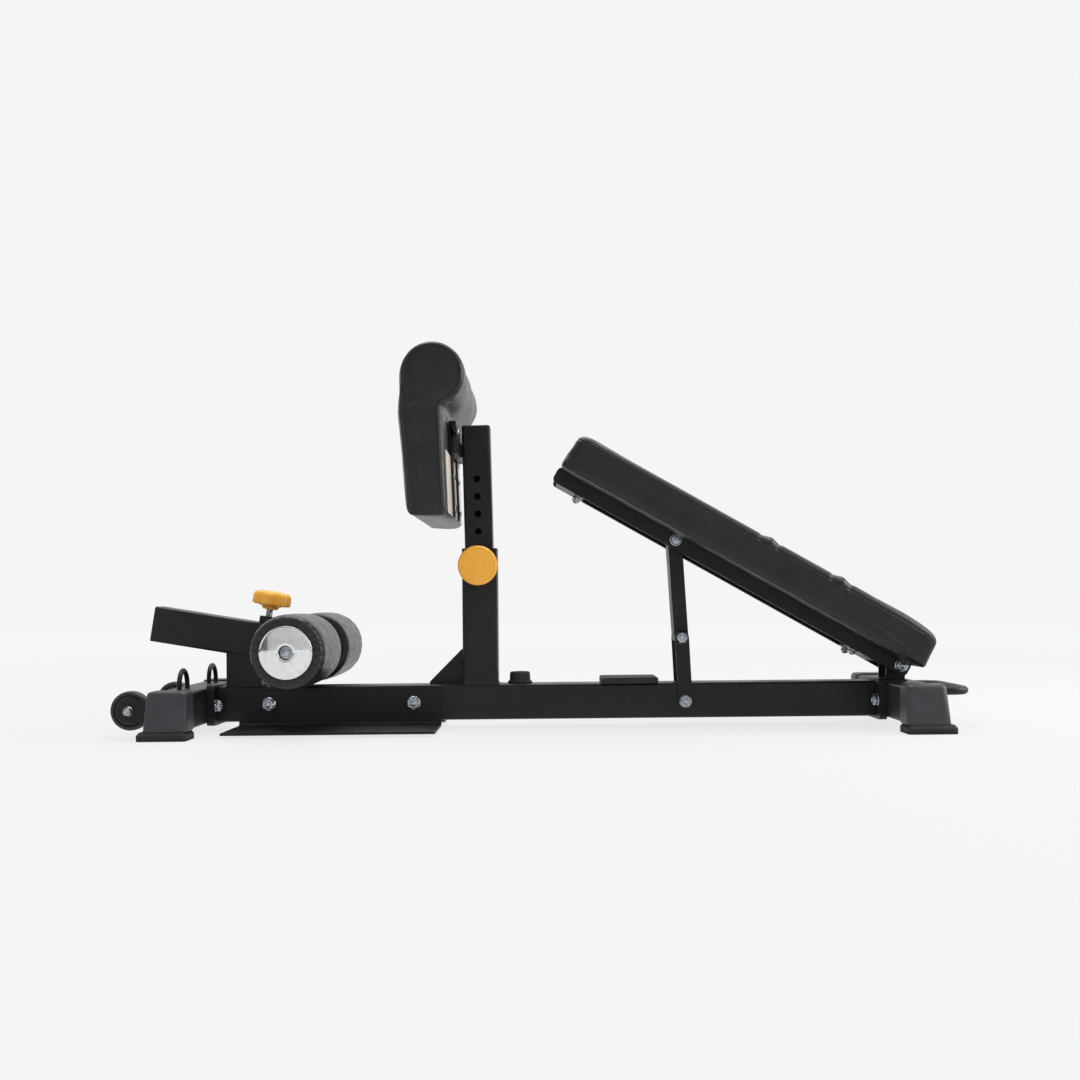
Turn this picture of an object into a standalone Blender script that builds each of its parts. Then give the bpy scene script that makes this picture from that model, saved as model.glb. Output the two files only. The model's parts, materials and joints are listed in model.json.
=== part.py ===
"""Squat and sit-up bench: a low spine beam on two crossbars, ankle rollers on a
telescoping arm, a height-adjustable calf pad, and a long bench on a folding prop.

Metres, +Z up. The floor is Z = 0 and the origin is midway along the footprint.
X runs from the transport wheels (-X) to the bench hinge (+X), Y across the frame.
"""
import math

import bmesh
import bpy
from mathutils import Matrix, Vector

# ---------------------------------------------------------------- dimensions
GAP = 0.0003                    # clearance between touching pieces

TUBE = 0.060                    # outside of the square frame tube
TUBE_WALL = 0.003
TUBE_CORNER = 0.004
BEAM_LOW = 0.015
BEAM_TOP = BEAM_LOW + TUBE
BEAM_MID = BEAM_LOW + TUBE / 2
BEAM_FRONT = -0.560
BEAM_REAR = 0.562

FLANGE_THICK = 0.006
FLANGE_HALF_WIDTH = 0.060
FLANGE_OVERHANG = 0.004

FRONT_BAR_X = BEAM_FRONT - 2 * FLANGE_THICK - TUBE / 2
REAR_BAR_X = BEAM_REAR + 2 * FLANGE_THICK + TUBE / 2
BAR_HALF_LENGTH = 0.185

FOOT_INNER_Y = 0.148
FOOT_OUTER_Y = 0.195
FOOT_DRAFT = 0.007
FOOT_SHELL = 0.003
SOLE_HEIGHT = 0.0147
SOLE_OUTER_Y = 0.206
SOLE_TOE = 0.047

WHEEL_X = -0.6776
WHEEL_Z = 0.044
WHEEL_RADIUS = 0.032
WHEEL_NEAR_Y = 0.119
WHEEL_FAR_Y = 0.141
FORK_THICK = 0.004

LOOP_Y = 0.095
LOOP_HALF_WIDTH = 0.024
LOOP_HEIGHT = 0.036
LOOP_ROD = 0.004

HANDLE_REACH = 0.7096
HANDLE_HALF_WIDTH = 0.090
HANDLE_Z = 0.061
HANDLE_ROD = 0.007

FOOT_PLATE_FRONT = -0.524
FOOT_PLATE_REAR = -0.179
FOOT_PLATE_HALF_WIDTH = 0.170
FOOT_PLATE_THICK = 0.004
FOOT_PLATE_TOP = 0.009
FOOT_PLATE_FLANGE_TOP = 0.068
FOOT_PLATE_BEND = 0.009
FOOT_PLATE_BOLTS = (-0.473, -0.226)

ARM_SLOPE = math.radians(9.6)
AXLE_X = -0.4063
AXLE_Z = 0.1393
SLEEVE_FRONT = -0.266
SLEEVE_REAR = -0.045
ARM_TUBE = 0.050
ARM_FRONT = -0.240
ARM_REAR = 0.030
ARM_POST_X = -0.517
CLAMP_S = -0.081
CLAMP_BOSS_TOP = 0.042
CLAMP_KNOB_LOW = 0.055
CLAMP_KNOB_HIGH = 0.085
CLAMP_KNOB_RADIUS = 0.034
STUD_RADIUS = 0.006

ROLLER_RADIUS = 0.060
ROLLER_INNER_Y = 0.037
ROLLER_OUTER_Y = 0.222
AXLE_RADIUS = 0.010
AXLE_HALF_LENGTH = 0.216
SPIGOT_RADIUS = 0.014
SPIGOT_INNER_Y = 0.160
END_CAP_RADIUS = 0.0425
END_CAP_OUTER_Y = 0.226

UPRIGHT_X = -0.112
UPRIGHT_TOP = 0.308
UPRIGHT_WALL = 0.002
PIN_Z = 0.277
PIN_RADIUS = 0.005
PIN_TIP_Y = -0.0245
BARREL_END_Y = -0.055
KNOB_FACE_Y = -0.095
KNOB_BACK_Y = -0.080
KNOB_RADIUS = 0.033

POST = 0.048
POST_WALL = 0.002
POST_LEAN = math.radians(1.0)
POST_X = -0.113
POST_BOTTOM = -0.075
POST_TOP = 0.208
HOLE_PITCH = 0.030
HOLE_COUNT = 6
HOLE_RADIUS = 0.006

CALF_LEAN = math.radians(1.975)
CALF_FOOT = (-0.153, 0.353)
CALF_HALF_WIDTH = 0.197
CALF_BOARD = 0.012
CALF_BOARD_TOP = 0.1655
CALF_FRONT_LOW = (-0.0659, 0.0)
CALF_FRONT_HIGH = (-0.0746, 0.1707)
CALF_ROLL_CENTRE = (-0.0149, 0.2287)
CALF_ROLL_RADIUS = 0.0533
CROSS_TUBE_HALF = 0.093
CROSS_TUBE_DEPTH = 0.0127
CROSS_TUBE_LOW = 0.1115
CROSS_TUBE_HIGH = 0.1645
STRAP_Y = 0.060
STRAP_WIDTH = 0.025
STRAP_THICK = 0.003

HINGE_X = REAR_BAR_X
HINGE_Z = 0.1015
BENCH_SLOPE = math.radians(29.7)
RAIL_INNER_Y = 0.0415
RAIL_THICK = 0.003
RAIL_LOW = -0.0153
RAIL_HIGH = 0.013
RAIL_START = -0.015
RAIL_END = 0.672
CROSS_PLATES = ((0.041, 0.095), (0.610, 0.672))
BOARD_THICK = 0.012
BOARD_START = -0.008
BOARD_END = 0.657
BOARD_HALF_WIDTH = 0.110
PAD_LIP = 0.007
PAD_TOP = 0.073
PAD_START = -0.020
PAD_END = 0.669
PAD_HALF_WIDTH = 0.125

PROP_TOP_U = 0.4387
KNEE = (0.2327, 0.1523)
PROP_FOOT = (0.2379, 0.0439)
LINK_WIDTH = 0.024
LINK_HALF_DEPTH = 0.025
LINK_WALL = 0.002
BAR_INNER_Y = 0.0305
BAR_THICK = 0.004

BUMPER_X = -0.045
BUMPER_TOP = 0.0954
REST_START = 0.094
REST_END = 0.191
REST_HALF_WIDTH = 0.0475

M12 = 0.006
M10 = 0.005
M8 = 0.004
HOLE_CLEARANCE = 0.0003


# ---------------------------------------------------------------- materials
def finish(name, colour, roughness, metallic=0.0):
    """A Principled material with a plain colour."""
    material = bpy.data.materials.new(name)
    material.use_nodes = True
    shader = material.node_tree.nodes["Principled BSDF"]
    shader.inputs["Base Color"].default_value = (*colour, 1.0)
    shader.inputs["Roughness"].default_value = roughness
    shader.inputs["Metallic"].default_value = metallic
    return material


# ---------------------------------------------------------------- outlines
def circle(radius, sides=24, centre=(0.0, 0.0)):
    """Points around a circle."""
    turns = [2 * math.pi * i / sides for i in range(sides)]
    return [(centre[0] + radius * math.cos(t), centre[1] + radius * math.sin(t)) for t in turns]


def hexagon(across_flats):
    """Twelve points on a hexagon: its corners and the middles of its flats."""
    flat = across_flats / 2
    corner = flat / math.cos(math.pi / 6)
    reach = [corner if i % 2 == 0 else flat for i in range(12)]
    return [(r * math.cos(math.pi * i / 6), r * math.sin(math.pi * i / 6)) for i, r in enumerate(reach)]


def rounded_box(low, high, radius, steps=2):
    """A rectangle from low to high with its four corners rounded."""
    corners = ((high[0] - radius, high[1] - radius, 0), (low[0] + radius, high[1] - radius, 90),
               (low[0] + radius, low[1] + radius, 180), (high[0] - radius, low[1] + radius, 270))
    points = []
    for x, y, start in corners:
        for step in range(steps + 1):
            turn = math.radians(start + 90 * step / steps)
            points.append((x + radius * math.cos(turn), y + radius * math.sin(turn)))
    return points


def square(half, radius=TUBE_CORNER, steps=2):
    """A square centred on the axis, with rounded corners."""
    return rounded_box((-half, -half), (half, half), radius, steps)


def arc(centre, radius, start, end, steps):
    """Points on an arc, from one angle to another in degrees."""
    turns = [math.radians(start + (end - start) * i / steps) for i in range(steps + 1)]
    return [(centre[0] + radius * math.cos(t), centre[1] + radius * math.sin(t)) for t in turns]


def stadium(first, second, radius, steps=8):
    """A bar with round ends, from one pivot to the other."""
    along = math.degrees(math.atan2(second[1] - first[1], second[0] - first[0]))
    return (arc(second, radius, along - 90, along + 90, steps)
            + arc(first, radius, along + 90, along + 270, steps))


# ---------------------------------------------------------------- solids
def place(a, b, height, axis):
    """A point of an outline, at a height along the axis."""
    return {"X": (height, a, b), "Y": (a, height, b), "Z": (a, b, height)}[axis]


def loft(bm, rings, axis, closed=False):
    """Skin a run of outlines that have equal counts.

    The ends are capped, unless closed joins the last outline to the first, as in a tube."""
    loops = [[bm.verts.new(place(a, b, height, axis)) for a, b in outline] for outline, height in rings]
    pairs = list(zip(loops, loops[1:]))
    if closed:
        pairs.append((loops[-1], loops[0]))
    else:
        bm.faces.new(loops[0])
        bm.faces.new(loops[-1])
    for lower, upper in pairs:
        for i in range(len(lower)):
            j = (i + 1) % len(lower)
            bm.faces.new((lower[i], lower[j], upper[j], upper[i]))


def prism(bm, outline, start, end, axis):
    """An outline extruded along an axis."""
    loft(bm, [(outline, start), (outline, end)], axis)


def pipe(bm, outer, inner, start, end, axis):
    """A tube, open at both ends."""
    loft(bm, [(outer, start), (outer, end), (inner, end), (inner, start)], axis, closed=True)


def turned(bm, profile, axis, sides=24, closed=False):
    """A turned piece, from (radius, height) pairs."""
    loft(bm, [(circle(radius, sides), height) for radius, height in profile], axis, closed)


def block(bm, low, high):
    """A plain box."""
    outline = [(low[0], low[1]), (high[0], low[1]), (high[0], high[1]), (low[0], high[1])]
    prism(bm, outline, low[2], high[2], "Z")


def piece(name, bm, material, location=(0, 0, 0), rotation=(0, 0, 0), parent=None):
    """Turn a bmesh into a named object at its place."""
    bmesh.ops.recalc_face_normals(bm, faces=bm.faces)
    mesh = bpy.data.meshes.new(name)
    bm.to_mesh(mesh)
    bm.free()
    mesh.shade_smooth()
    mesh.set_sharp_from_angle(angle=math.radians(35))
    thing = bpy.data.objects.new(name, mesh)
    bpy.context.collection.objects.link(thing)
    thing.location = location
    thing.rotation_euler = rotation
    thing.parent = parent
    if material:
        mesh.materials.append(material)
    return thing


def axis_empty(name, location, rotation=(0, 0, 0), parent=None):
    """An empty on a joint's axis, which carries the pieces that move together."""
    empty = bpy.data.objects.new(name, None)
    bpy.context.collection.objects.link(empty)
    empty.empty_display_size = 0.05
    empty.location = location
    empty.rotation_euler = rotation
    empty.parent = parent
    return empty


def cutter(name, bm, location=(0, 0, 0), rotation=(0, 0, 0), parent=None):
    """A hidden shape that a Boolean subtracts or adds."""
    shape = piece(name, bm, None, location, rotation, parent)
    shape.hide_render = True
    shape.display_type = "WIRE"
    return shape


def combine(target, tool, operation="DIFFERENCE"):
    """Cut a piece with another shape, or join that shape to it."""
    modifier = target.modifiers.new(tool.name, "BOOLEAN")
    modifier.operation = operation
    modifier.object = tool


def rods(bm, centres, radius, start, end, axis, sides=12):
    """Equal cylinders at several centres."""
    for centre in centres:
        prism(bm, circle(radius, sides, centre), start, end, axis)


def through_bolt(bm, shank, washer, grip, axis, centre=(0.0, 0.0)):
    """A bolt with a washer and a nut at each end of a grip that is centred on zero."""
    nut = hexagon(shank * 3.1)
    thread = circle(shank * 0.82, 12)
    rings = []
    for side in (-1, 1):
        end = [(thread, grip + 0.0115), (thread, grip + 0.0095), (nut, grip + 0.0095), (nut, grip + 0.002),
               (circle(washer, 12), grip + 0.002), (circle(washer, 12), grip + GAP),
               (circle(shank, 12), grip + GAP)]
        ordered = end if side < 0 else end[::-1]
        rings += [([(a + centre[0], b + centre[1]) for a, b in outline], side * height)
                  for outline, height in ordered]
    loft(bm, rings, axis)


# ---------------------------------------------------------------- base frame
def build_beam(looks):
    """The spine beam and the crossbars, each with its welded flange plates."""
    holes = bmesh.new()
    centres = [(x, BEAM_MID) for x in FOOT_PLATE_BOLTS]
    centres.append(PROP_FOOT)
    rods(holes, centres, M12 + HOLE_CLEARANCE, -TUBE, TUBE, "Y")
    beam_holes = cutter("beam_hole_cutter", holes)
    plate = rounded_box((-FLANGE_HALF_WIDTH, BEAM_LOW - FLANGE_OVERHANG),
                        (FLANGE_HALF_WIDTH, BEAM_TOP + FLANGE_OVERHANG), 0.006)
    flanges = {}
    for name, start, way in (("front", BEAM_FRONT, -1), ("rear", BEAM_REAR, 1)):
        for index, owner in enumerate(("beam", "crossbar")):
            near = start + way * (index * FLANGE_THICK + index * GAP)
            bm = bmesh.new()
            prism(bm, plate, near, start + way * (index + 1) * FLANGE_THICK + way * index * 0.001, "X")
            flanges[name, owner] = cutter(f"{name}_{owner}_flange", bm)

    bm = bmesh.new()
    pipe(bm, square(TUBE / 2), square(TUBE / 2 - TUBE_WALL, 0.002),
         BEAM_FRONT - 0.001, BEAM_REAR + 0.001, "X")
    beam = piece("main_beam", bm, looks["powder_coat"], (0, 0, BEAM_MID))
    combine(beam, flanges["front", "beam"], "UNION")
    combine(beam, flanges["rear", "beam"], "UNION")
    combine(beam, beam_holes)

    for name, x in (("front", FRONT_BAR_X), ("rear", REAR_BAR_X)):
        bm = bmesh.new()
        pipe(bm, square(TUBE / 2), square(TUBE / 2 - TUBE_WALL, 0.002),
             -BAR_HALF_LENGTH, BAR_HALF_LENGTH, "Y")
        bar = piece(f"{name}_crossbar", bm, looks["powder_coat"], (x, 0, BEAM_MID))
        combine(bar, flanges[name, "crossbar"], "UNION")


def foot_shell(bm, way, grow):
    """A foot's drafted outside, or its straight inside, on the end of a crossbar at y > 0."""
    low, high = SOLE_HEIGHT + GAP, BEAM_TOP + FOOT_SHELL
    base = rounded_box((-TUBE / 2 - FOOT_SHELL, FOOT_INNER_Y),
                       (TUBE / 2 + FOOT_SHELL + FOOT_DRAFT * 0.7, FOOT_OUTER_Y + FOOT_DRAFT), 0.005)
    top = rounded_box((-TUBE / 2 - FOOT_SHELL, FOOT_INNER_Y),
                      (TUBE / 2 + FOOT_SHELL, FOOT_OUTER_Y), 0.005)
    crown = rounded_box((-TUBE / 2 - FOOT_SHELL + grow, FOOT_INNER_Y + grow),
                        (TUBE / 2 + FOOT_SHELL - grow, FOOT_OUTER_Y - grow), 0.005)
    rings = [([(way * x, y) for x, y in outline], height)
             for outline, height in ((base, low), (top, high - grow), (crown, high))]
    loft(bm, rings, "Z")


def build_feet(looks):
    """Slip-on feet at the four crossbar ends, each on a rubber sole."""
    for name, bar_x, way in (("front", FRONT_BAR_X, -1), ("rear", REAR_BAR_X, 1)):
        for side_name, side in (("near", -1), ("far", 1)):
            socket = bmesh.new()
            half = TUBE / 2 + GAP
            block(socket, (-half, FOOT_INNER_Y - 0.01, -0.01),
                  (half, BAR_HALF_LENGTH + GAP, BEAM_TOP + GAP))
            bmesh.ops.scale(socket, vec=(1, side, 1), verts=socket.verts)
            socket_tool = cutter(f"foot_socket_{name}_{side_name}", socket, (bar_x, 0, 0))

            bm = bmesh.new()
            foot_shell(bm, way, 0.0015)
            bmesh.ops.scale(bm, vec=(1, side, 1), verts=bm.verts)
            foot = piece(f"foot_cap_{name}_{side_name}", bm, looks["slate_plastic"], (bar_x, 0, 0))
            combine(foot, socket_tool)

            heel, toe = way * (-TUBE / 2 - FOOT_SHELL), way * SOLE_TOE
            edges = sorted((bar_x + heel, bar_x + toe))
            walls = sorted((side * FOOT_INNER_Y, side * SOLE_OUTER_Y))
            full = rounded_box((edges[0], walls[0]), (edges[1], walls[1]), 0.005)
            slim = rounded_box((edges[0] + 0.004, walls[0] + 0.004),
                               (edges[1] - 0.004, walls[1] - 0.004), 0.005)
            bm = bmesh.new()
            loft(bm, [(full, 0.0), (full, SOLE_HEIGHT - 0.004), (slim, SOLE_HEIGHT)], "Z")
            piece(f"foot_sole_{name}_{side_name}", bm, looks["rubber"])


def build_wheels(looks):
    """Two transport wheels, each in a fork on the front crossbar."""
    rear = FRONT_BAR_X - TUBE / 2 - GAP
    fork = (arc((WHEEL_X, WHEEL_Z), 0.019, 90, 270, 8)
            + [(rear, WHEEL_Z - 0.019), (rear, WHEEL_Z + 0.019)])
    middle = (WHEEL_NEAR_Y + WHEEL_FAR_Y) / 2
    half = (WHEEL_FAR_Y - WHEEL_NEAR_Y) / 2
    inside = half + 0.0015
    grip = inside + FORK_THICK
    bore = M8 + 0.0005
    profile = [(bore, -half), (0.012, -half), (0.013, -half + 0.002), (0.026, -half + 0.002),
               (0.028, -half), (WHEEL_RADIUS - 0.002, -half), (WHEEL_RADIUS, -half + 0.002),
               (WHEEL_RADIUS, half - 0.002), (WHEEL_RADIUS - 0.002, half), (0.028, half),
               (0.026, half - 0.002), (0.013, half - 0.002), (0.012, half), (bore, half)]
    for name, side in (("near", -1), ("far", 1)):
        centre = side * middle
        gap = bmesh.new()
        block(gap, (-0.8, centre - inside, 0), (rear - 0.008, centre + inside, 0.1))
        gap_tool = cutter(f"fork_gap_{name}", gap)
        hole = bmesh.new()
        rods(hole, [(WHEEL_X, WHEEL_Z)], M8 + HOLE_CLEARANCE, centre - 0.03, centre + 0.03, "Y")
        hole_tool = cutter(f"fork_hole_{name}", hole)
        bm = bmesh.new()
        prism(bm, fork, centre - grip, centre + grip, "Y")
        body = piece(f"wheel_fork_{name}", bm, looks["powder_coat"])
        combine(body, gap_tool)
        combine(body, hole_tool)

        bm = bmesh.new()
        through_bolt(bm, M8, 0.008, grip, "Y")
        piece(f"wheel_bolt_{name}", bm, looks["zinc"], (WHEEL_X, centre, WHEEL_Z))

        bm = bmesh.new()
        turned(bm, profile, "Y", 32, closed=True)
        piece(f"transport_wheel_{name}", bm, looks["wheel_plastic"], (WHEEL_X, centre, WHEEL_Z))


def bent_rod(name, points, radius, material):
    """A round bar along a run of points, with flat ends."""
    curve = bpy.data.curves.new(name, "CURVE")
    curve.dimensions = "3D"
    curve.bevel_depth = radius
    curve.bevel_resolution = 2
    curve.use_fill_caps = True
    spline = curve.splines.new("POLY")
    spline.points.add(len(points) - 1)
    for point, position in zip(spline.points, points):
        point.co = (*position, 1.0)
    curve.materials.append(material)
    rod = bpy.data.objects.new(name, curve)
    bpy.context.collection.objects.link(rod)
    return rod


def build_rods(looks):
    """Two band loops on the front crossbar and the lifting handle on the rear one."""
    for name, middle in (("band_loop_near", -LOOP_Y), ("band_loop_far", LOOP_Y)):
        shoulder = BEAM_TOP + LOOP_HEIGHT - LOOP_ROD - LOOP_HALF_WIDTH
        points = [(middle + LOOP_HALF_WIDTH, BEAM_TOP + GAP)]
        points += arc((middle, shoulder), LOOP_HALF_WIDTH, 0, 180, 10)
        points.append((middle - LOOP_HALF_WIDTH, BEAM_TOP + GAP))
        bent_rod(name, [(FRONT_BAR_X, y, z) for y, z in points], LOOP_ROD, looks["powder_coat"])

    root = REAR_BAR_X + TUBE / 2 + GAP
    bend = 0.022
    reach = HANDLE_REACH - HANDLE_ROD
    points = [(root, -HANDLE_HALF_WIDTH)]
    points += arc((reach - bend, -HANDLE_HALF_WIDTH + bend), bend, -90, 0, 5)
    points += arc((reach - bend, HANDLE_HALF_WIDTH - bend), bend, 0, 90, 5)
    points.append((root, HANDLE_HALF_WIDTH))
    bent_rod("rear_handle", [(x, y, HANDLE_Z) for x, y in points], HANDLE_ROD, looks["powder_coat"])


def build_foot_plates(looks):
    """Bent tread plates on both sides of the beam, and the bolts that cross the beam."""
    inner = TUBE / 2 + GAP
    outer = inner + FOOT_PLATE_THICK
    low = FOOT_PLATE_TOP - FOOT_PLATE_THICK
    bend = (outer + FOOT_PLATE_BEND - FOOT_PLATE_THICK, low + FOOT_PLATE_BEND)
    profile = [(inner, FOOT_PLATE_FLANGE_TOP)]
    profile += arc(bend, FOOT_PLATE_BEND, 180, 270, 4)
    profile += [(FOOT_PLATE_HALF_WIDTH, low), (FOOT_PLATE_HALF_WIDTH, FOOT_PLATE_TOP)]
    profile += arc(bend, FOOT_PLATE_BEND - FOOT_PLATE_THICK, 270, 180, 4)
    profile += [(outer, FOOT_PLATE_FLANGE_TOP)]

    holes = bmesh.new()
    rods(holes, [(x, BEAM_MID) for x in FOOT_PLATE_BOLTS], M12 + HOLE_CLEARANCE, -TUBE, TUBE, "Y")
    hole_tool = cutter("foot_plate_hole_cutter", holes)
    for name, side in (("foot_plate_near", -1), ("foot_plate_far", 1)):
        bm = bmesh.new()
        prism(bm, [(side * y, z) for y, z in profile], FOOT_PLATE_FRONT, FOOT_PLATE_REAR, "X")
        combine(piece(name, bm, looks["powder_coat"]), hole_tool)

    for name, x in zip(("front", "rear"), FOOT_PLATE_BOLTS):
        bm = bmesh.new()
        through_bolt(bm, M12, 0.012, outer, "Y", (x, BEAM_MID))
        piece(f"foot_plate_bolt_{name}", bm, looks["zinc"])
    bm = bmesh.new()
    through_bolt(bm, M12, 0.011, BAR_INNER_Y + BAR_THICK, "Y", PROP_FOOT)
    piece("prop_foot_bolt", bm, looks["zinc"])


def build_stops(looks):
    """The rubber stop under the bench's end and the rest pad half way along."""
    bm = bmesh.new()
    low = BEAM_TOP + GAP
    profile = [(0.021, low), (0.021, low + 0.003), (0.018, low + 0.006), (0.017, BUMPER_TOP - 0.002),
               (0.015, BUMPER_TOP)]
    turned(bm, profile, "Z", 24)
    piece("bench_bumper", bm, looks["rubber"], (BUMPER_X, 0, 0))

    bm = bmesh.new()
    full = rounded_box((REST_START, -REST_HALF_WIDTH), (REST_END, REST_HALF_WIDTH), 0.005)
    slim = rounded_box((REST_START + 0.002, -REST_HALF_WIDTH + 0.002),
                       (REST_END - 0.002, REST_HALF_WIDTH - 0.002), 0.005)
    loft(bm, [(full, low), (full, low + 0.008), (slim, low + 0.010)], "Z")
    piece("rest_pad", bm, looks["rubber"])


# ---------------------------------------------------------------- ankle rollers
def build_arm(looks):
    """The sloping sleeve on its post, and the arm that slides in it with the axle."""
    rise = math.tan(ARM_SLOPE)
    sleeve_under = (AXLE_Z + (AXLE_X - ARM_POST_X) * rise - TUBE / 2 / math.cos(ARM_SLOPE))
    post = bmesh.new()
    height = sleeve_under + 0.001 - BEAM_TOP - GAP
    pipe(post, square(TUBE / 2), square(TUBE / 2 - TUBE_WALL, 0.002), 0, height, "Z")
    for vert in post.verts:
        if vert.co.z > height / 2:
            vert.co.z -= vert.co.x * rise
    post_tool = cutter("arm_post", post, (ARM_POST_X, 0, BEAM_TOP + GAP))

    line = axis_empty("sleeve_line", (AXLE_X, 0, AXLE_Z), (0, ARM_SLOPE, 0))
    stud_hole = bmesh.new()
    rods(stud_hole, [(CLAMP_S, 0)], STUD_RADIUS + 0.0005, 0, TUBE, "Z", 16)
    stud_tool = cutter("stud_hole_cutter", stud_hole, parent=line)

    boss = bmesh.new()
    turned(boss, [(0.015, TUBE / 2 - 0.001), (0.015, CLAMP_BOSS_TOP - 0.001),
                  (0.014, CLAMP_BOSS_TOP)], "Z", 24)
    bmesh.ops.translate(boss, vec=(CLAMP_S, 0, 0), verts=boss.verts)
    boss_tool = cutter("clamp_boss", boss, parent=line)

    bm = bmesh.new()
    pipe(bm, square(TUBE / 2), square(TUBE / 2 - TUBE_WALL, 0.002), SLEEVE_FRONT, SLEEVE_REAR, "X")
    sleeve = piece("arm_sleeve", bm, looks["powder_coat"], parent=line)
    combine(sleeve, post_tool, "UNION")
    combine(sleeve, boss_tool, "UNION")
    combine(sleeve, stud_tool)

    bm = bmesh.new()
    cover, plug = square(TUBE / 2), square(TUBE / 2 - TUBE_WALL - GAP, 0.002)
    loft(bm, [(cover, SLEEVE_FRONT - 0.003), (cover, SLEEVE_FRONT - GAP), (plug, SLEEVE_FRONT - GAP),
              (plug, SLEEVE_FRONT + 0.003)], "X")
    piece("arm_sleeve_cap", bm, looks["black_plastic"], parent=line)

    clamp = axis_empty("clamp_axis", (CLAMP_S, 0, 0), parent=line)
    bm = bmesh.new()
    stud = [(0.004, ARM_TUBE / 2 + GAP), (STUD_RADIUS, ARM_TUBE / 2 + 0.002),
            (STUD_RADIUS, CLAMP_KNOB_LOW + 0.018)]
    turned(bm, stud, "Z", 16)
    piece("clamp_stud", bm, looks["zinc"], parent=clamp)

    bm = bmesh.new()
    lobes = 7
    steps = 6 * lobes
    rings = []
    bore = STUD_RADIUS + GAP
    low = CLAMP_KNOB_LOW
    high = CLAMP_KNOB_HIGH
    profile = ((bore, low + 0.018 + GAP, False), (bore, low, False), (0.013, low, False),
               (0.014, low + 0.004, False), (0.032, low + 0.005, True),
               (CLAMP_KNOB_RADIUS, low + 0.008, True), (CLAMP_KNOB_RADIUS, high - 0.006, True),
               (0.031, high - 0.002, True), (0.018, high, False))
    for size, height, lobed in profile:
        depth = 0.14 if lobed else 0.0
        turns = [2 * math.pi * i / steps for i in range(steps)]
        outline = [(size * (1 - depth / 2 + depth / 2 * math.cos(lobes * t)) * math.cos(t),
                    size * (1 - depth / 2 + depth / 2 * math.cos(lobes * t)) * math.sin(t)) for t in turns]
        rings.append((outline, height))
    loft(bm, rings, "Z")
    piece("clamp_knob", bm, looks["yellow_plastic"], parent=clamp)

    slide = axis_empty("ankle_arm_axis", (AXLE_X, 0, AXLE_Z), (0, ARM_SLOPE, 0))
    axle_hole = bmesh.new()
    rods(axle_hole, [(0, 0)], AXLE_RADIUS + HOLE_CLEARANCE, -TUBE, TUBE, "Y", 24)
    axle_tool = cutter("axle_hole_cutter", axle_hole, parent=slide)
    bm = bmesh.new()
    pipe(bm, square(ARM_TUBE / 2), square(ARM_TUBE / 2 - TUBE_WALL, 0.002), ARM_FRONT, ARM_REAR, "X")
    combine(piece("roller_arm", bm, looks["powder_coat"], parent=slide), axle_tool)

    bm = bmesh.new()
    cover, plug = square(ARM_TUBE / 2), square(ARM_TUBE / 2 - TUBE_WALL - GAP, 0.002)
    loft(bm, [(plug, ARM_REAR - 0.012), (plug, ARM_REAR + GAP), (cover, ARM_REAR + GAP),
              (cover, ARM_REAR + 0.003)], "X")
    piece("roller_arm_plug", bm, looks["black_plastic"], parent=slide)

    collar, inner, outer = 0.016, ARM_TUBE / 2 + GAP, ROLLER_INNER_Y - 0.0005
    bm = bmesh.new()
    turned(bm, [(AXLE_RADIUS, -AXLE_HALF_LENGTH), (AXLE_RADIUS, -outer), (collar, -outer), (collar, -inner),
                (AXLE_RADIUS, -inner), (AXLE_RADIUS, inner), (collar, inner), (collar, outer),
                (AXLE_RADIUS, outer), (AXLE_RADIUS, AXLE_HALF_LENGTH)], "Y")
    piece("roller_axle", bm, looks["zinc"], parent=slide)

    low = AXLE_HALF_LENGTH + GAP
    for name, side in (("near", -1), ("far", 1)):
        bm = bmesh.new()
        loft(bm, [(circle(0.0085, 12), side * low), (circle(0.0085, 12), side * (low + 0.0015)),
                  (hexagon(0.013), side * (low + 0.0015)), (hexagon(0.013), side * (low + 0.007))], "Y")
        piece(f"axle_end_bolt_{name}", bm, looks["zinc"], parent=slide)
    return slide


def build_rollers(looks, slide):
    """Two foam rollers turning on the axle, each closed by a bright end cap."""
    step = SPIGOT_INNER_Y - GAP
    snug = AXLE_RADIUS + GAP
    foam = [(snug, ROLLER_INNER_Y), (0.052, ROLLER_INNER_Y), (0.058, ROLLER_INNER_Y + 0.003),
            (ROLLER_RADIUS, ROLLER_INNER_Y + 0.010), (ROLLER_RADIUS, ROLLER_OUTER_Y - 0.010),
            (0.058, ROLLER_OUTER_Y - 0.003), (0.052, ROLLER_OUTER_Y), (SPIGOT_RADIUS + GAP, ROLLER_OUTER_Y),
            (SPIGOT_RADIUS + GAP, step), (snug, step)]
    back = ROLLER_OUTER_Y + GAP
    cap = [(snug, SPIGOT_INNER_Y), (SPIGOT_RADIUS, SPIGOT_INNER_Y), (SPIGOT_RADIUS, back), (0.041, back),
           (END_CAP_RADIUS, back + 0.0012), (0.0415, END_CAP_OUTER_Y - 0.0005), (0.039, END_CAP_OUTER_Y),
           (snug, END_CAP_OUTER_Y)]
    for name, side in (("near", -1), ("far", 1)):
        bm = bmesh.new()
        turned(bm, foam, "Y", 36, closed=True)
        bmesh.ops.scale(bm, vec=(1, side, 1), verts=bm.verts)
        piece(f"ankle_roller_{name}", bm, looks["vinyl"], parent=slide)
        bm = bmesh.new()
        turned(bm, cap, "Y", 36, closed=True)
        bmesh.ops.scale(bm, vec=(1, side, 1), verts=bm.verts)
        piece(f"roller_end_cap_{name}", bm, looks["chrome"], parent=slide)


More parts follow.
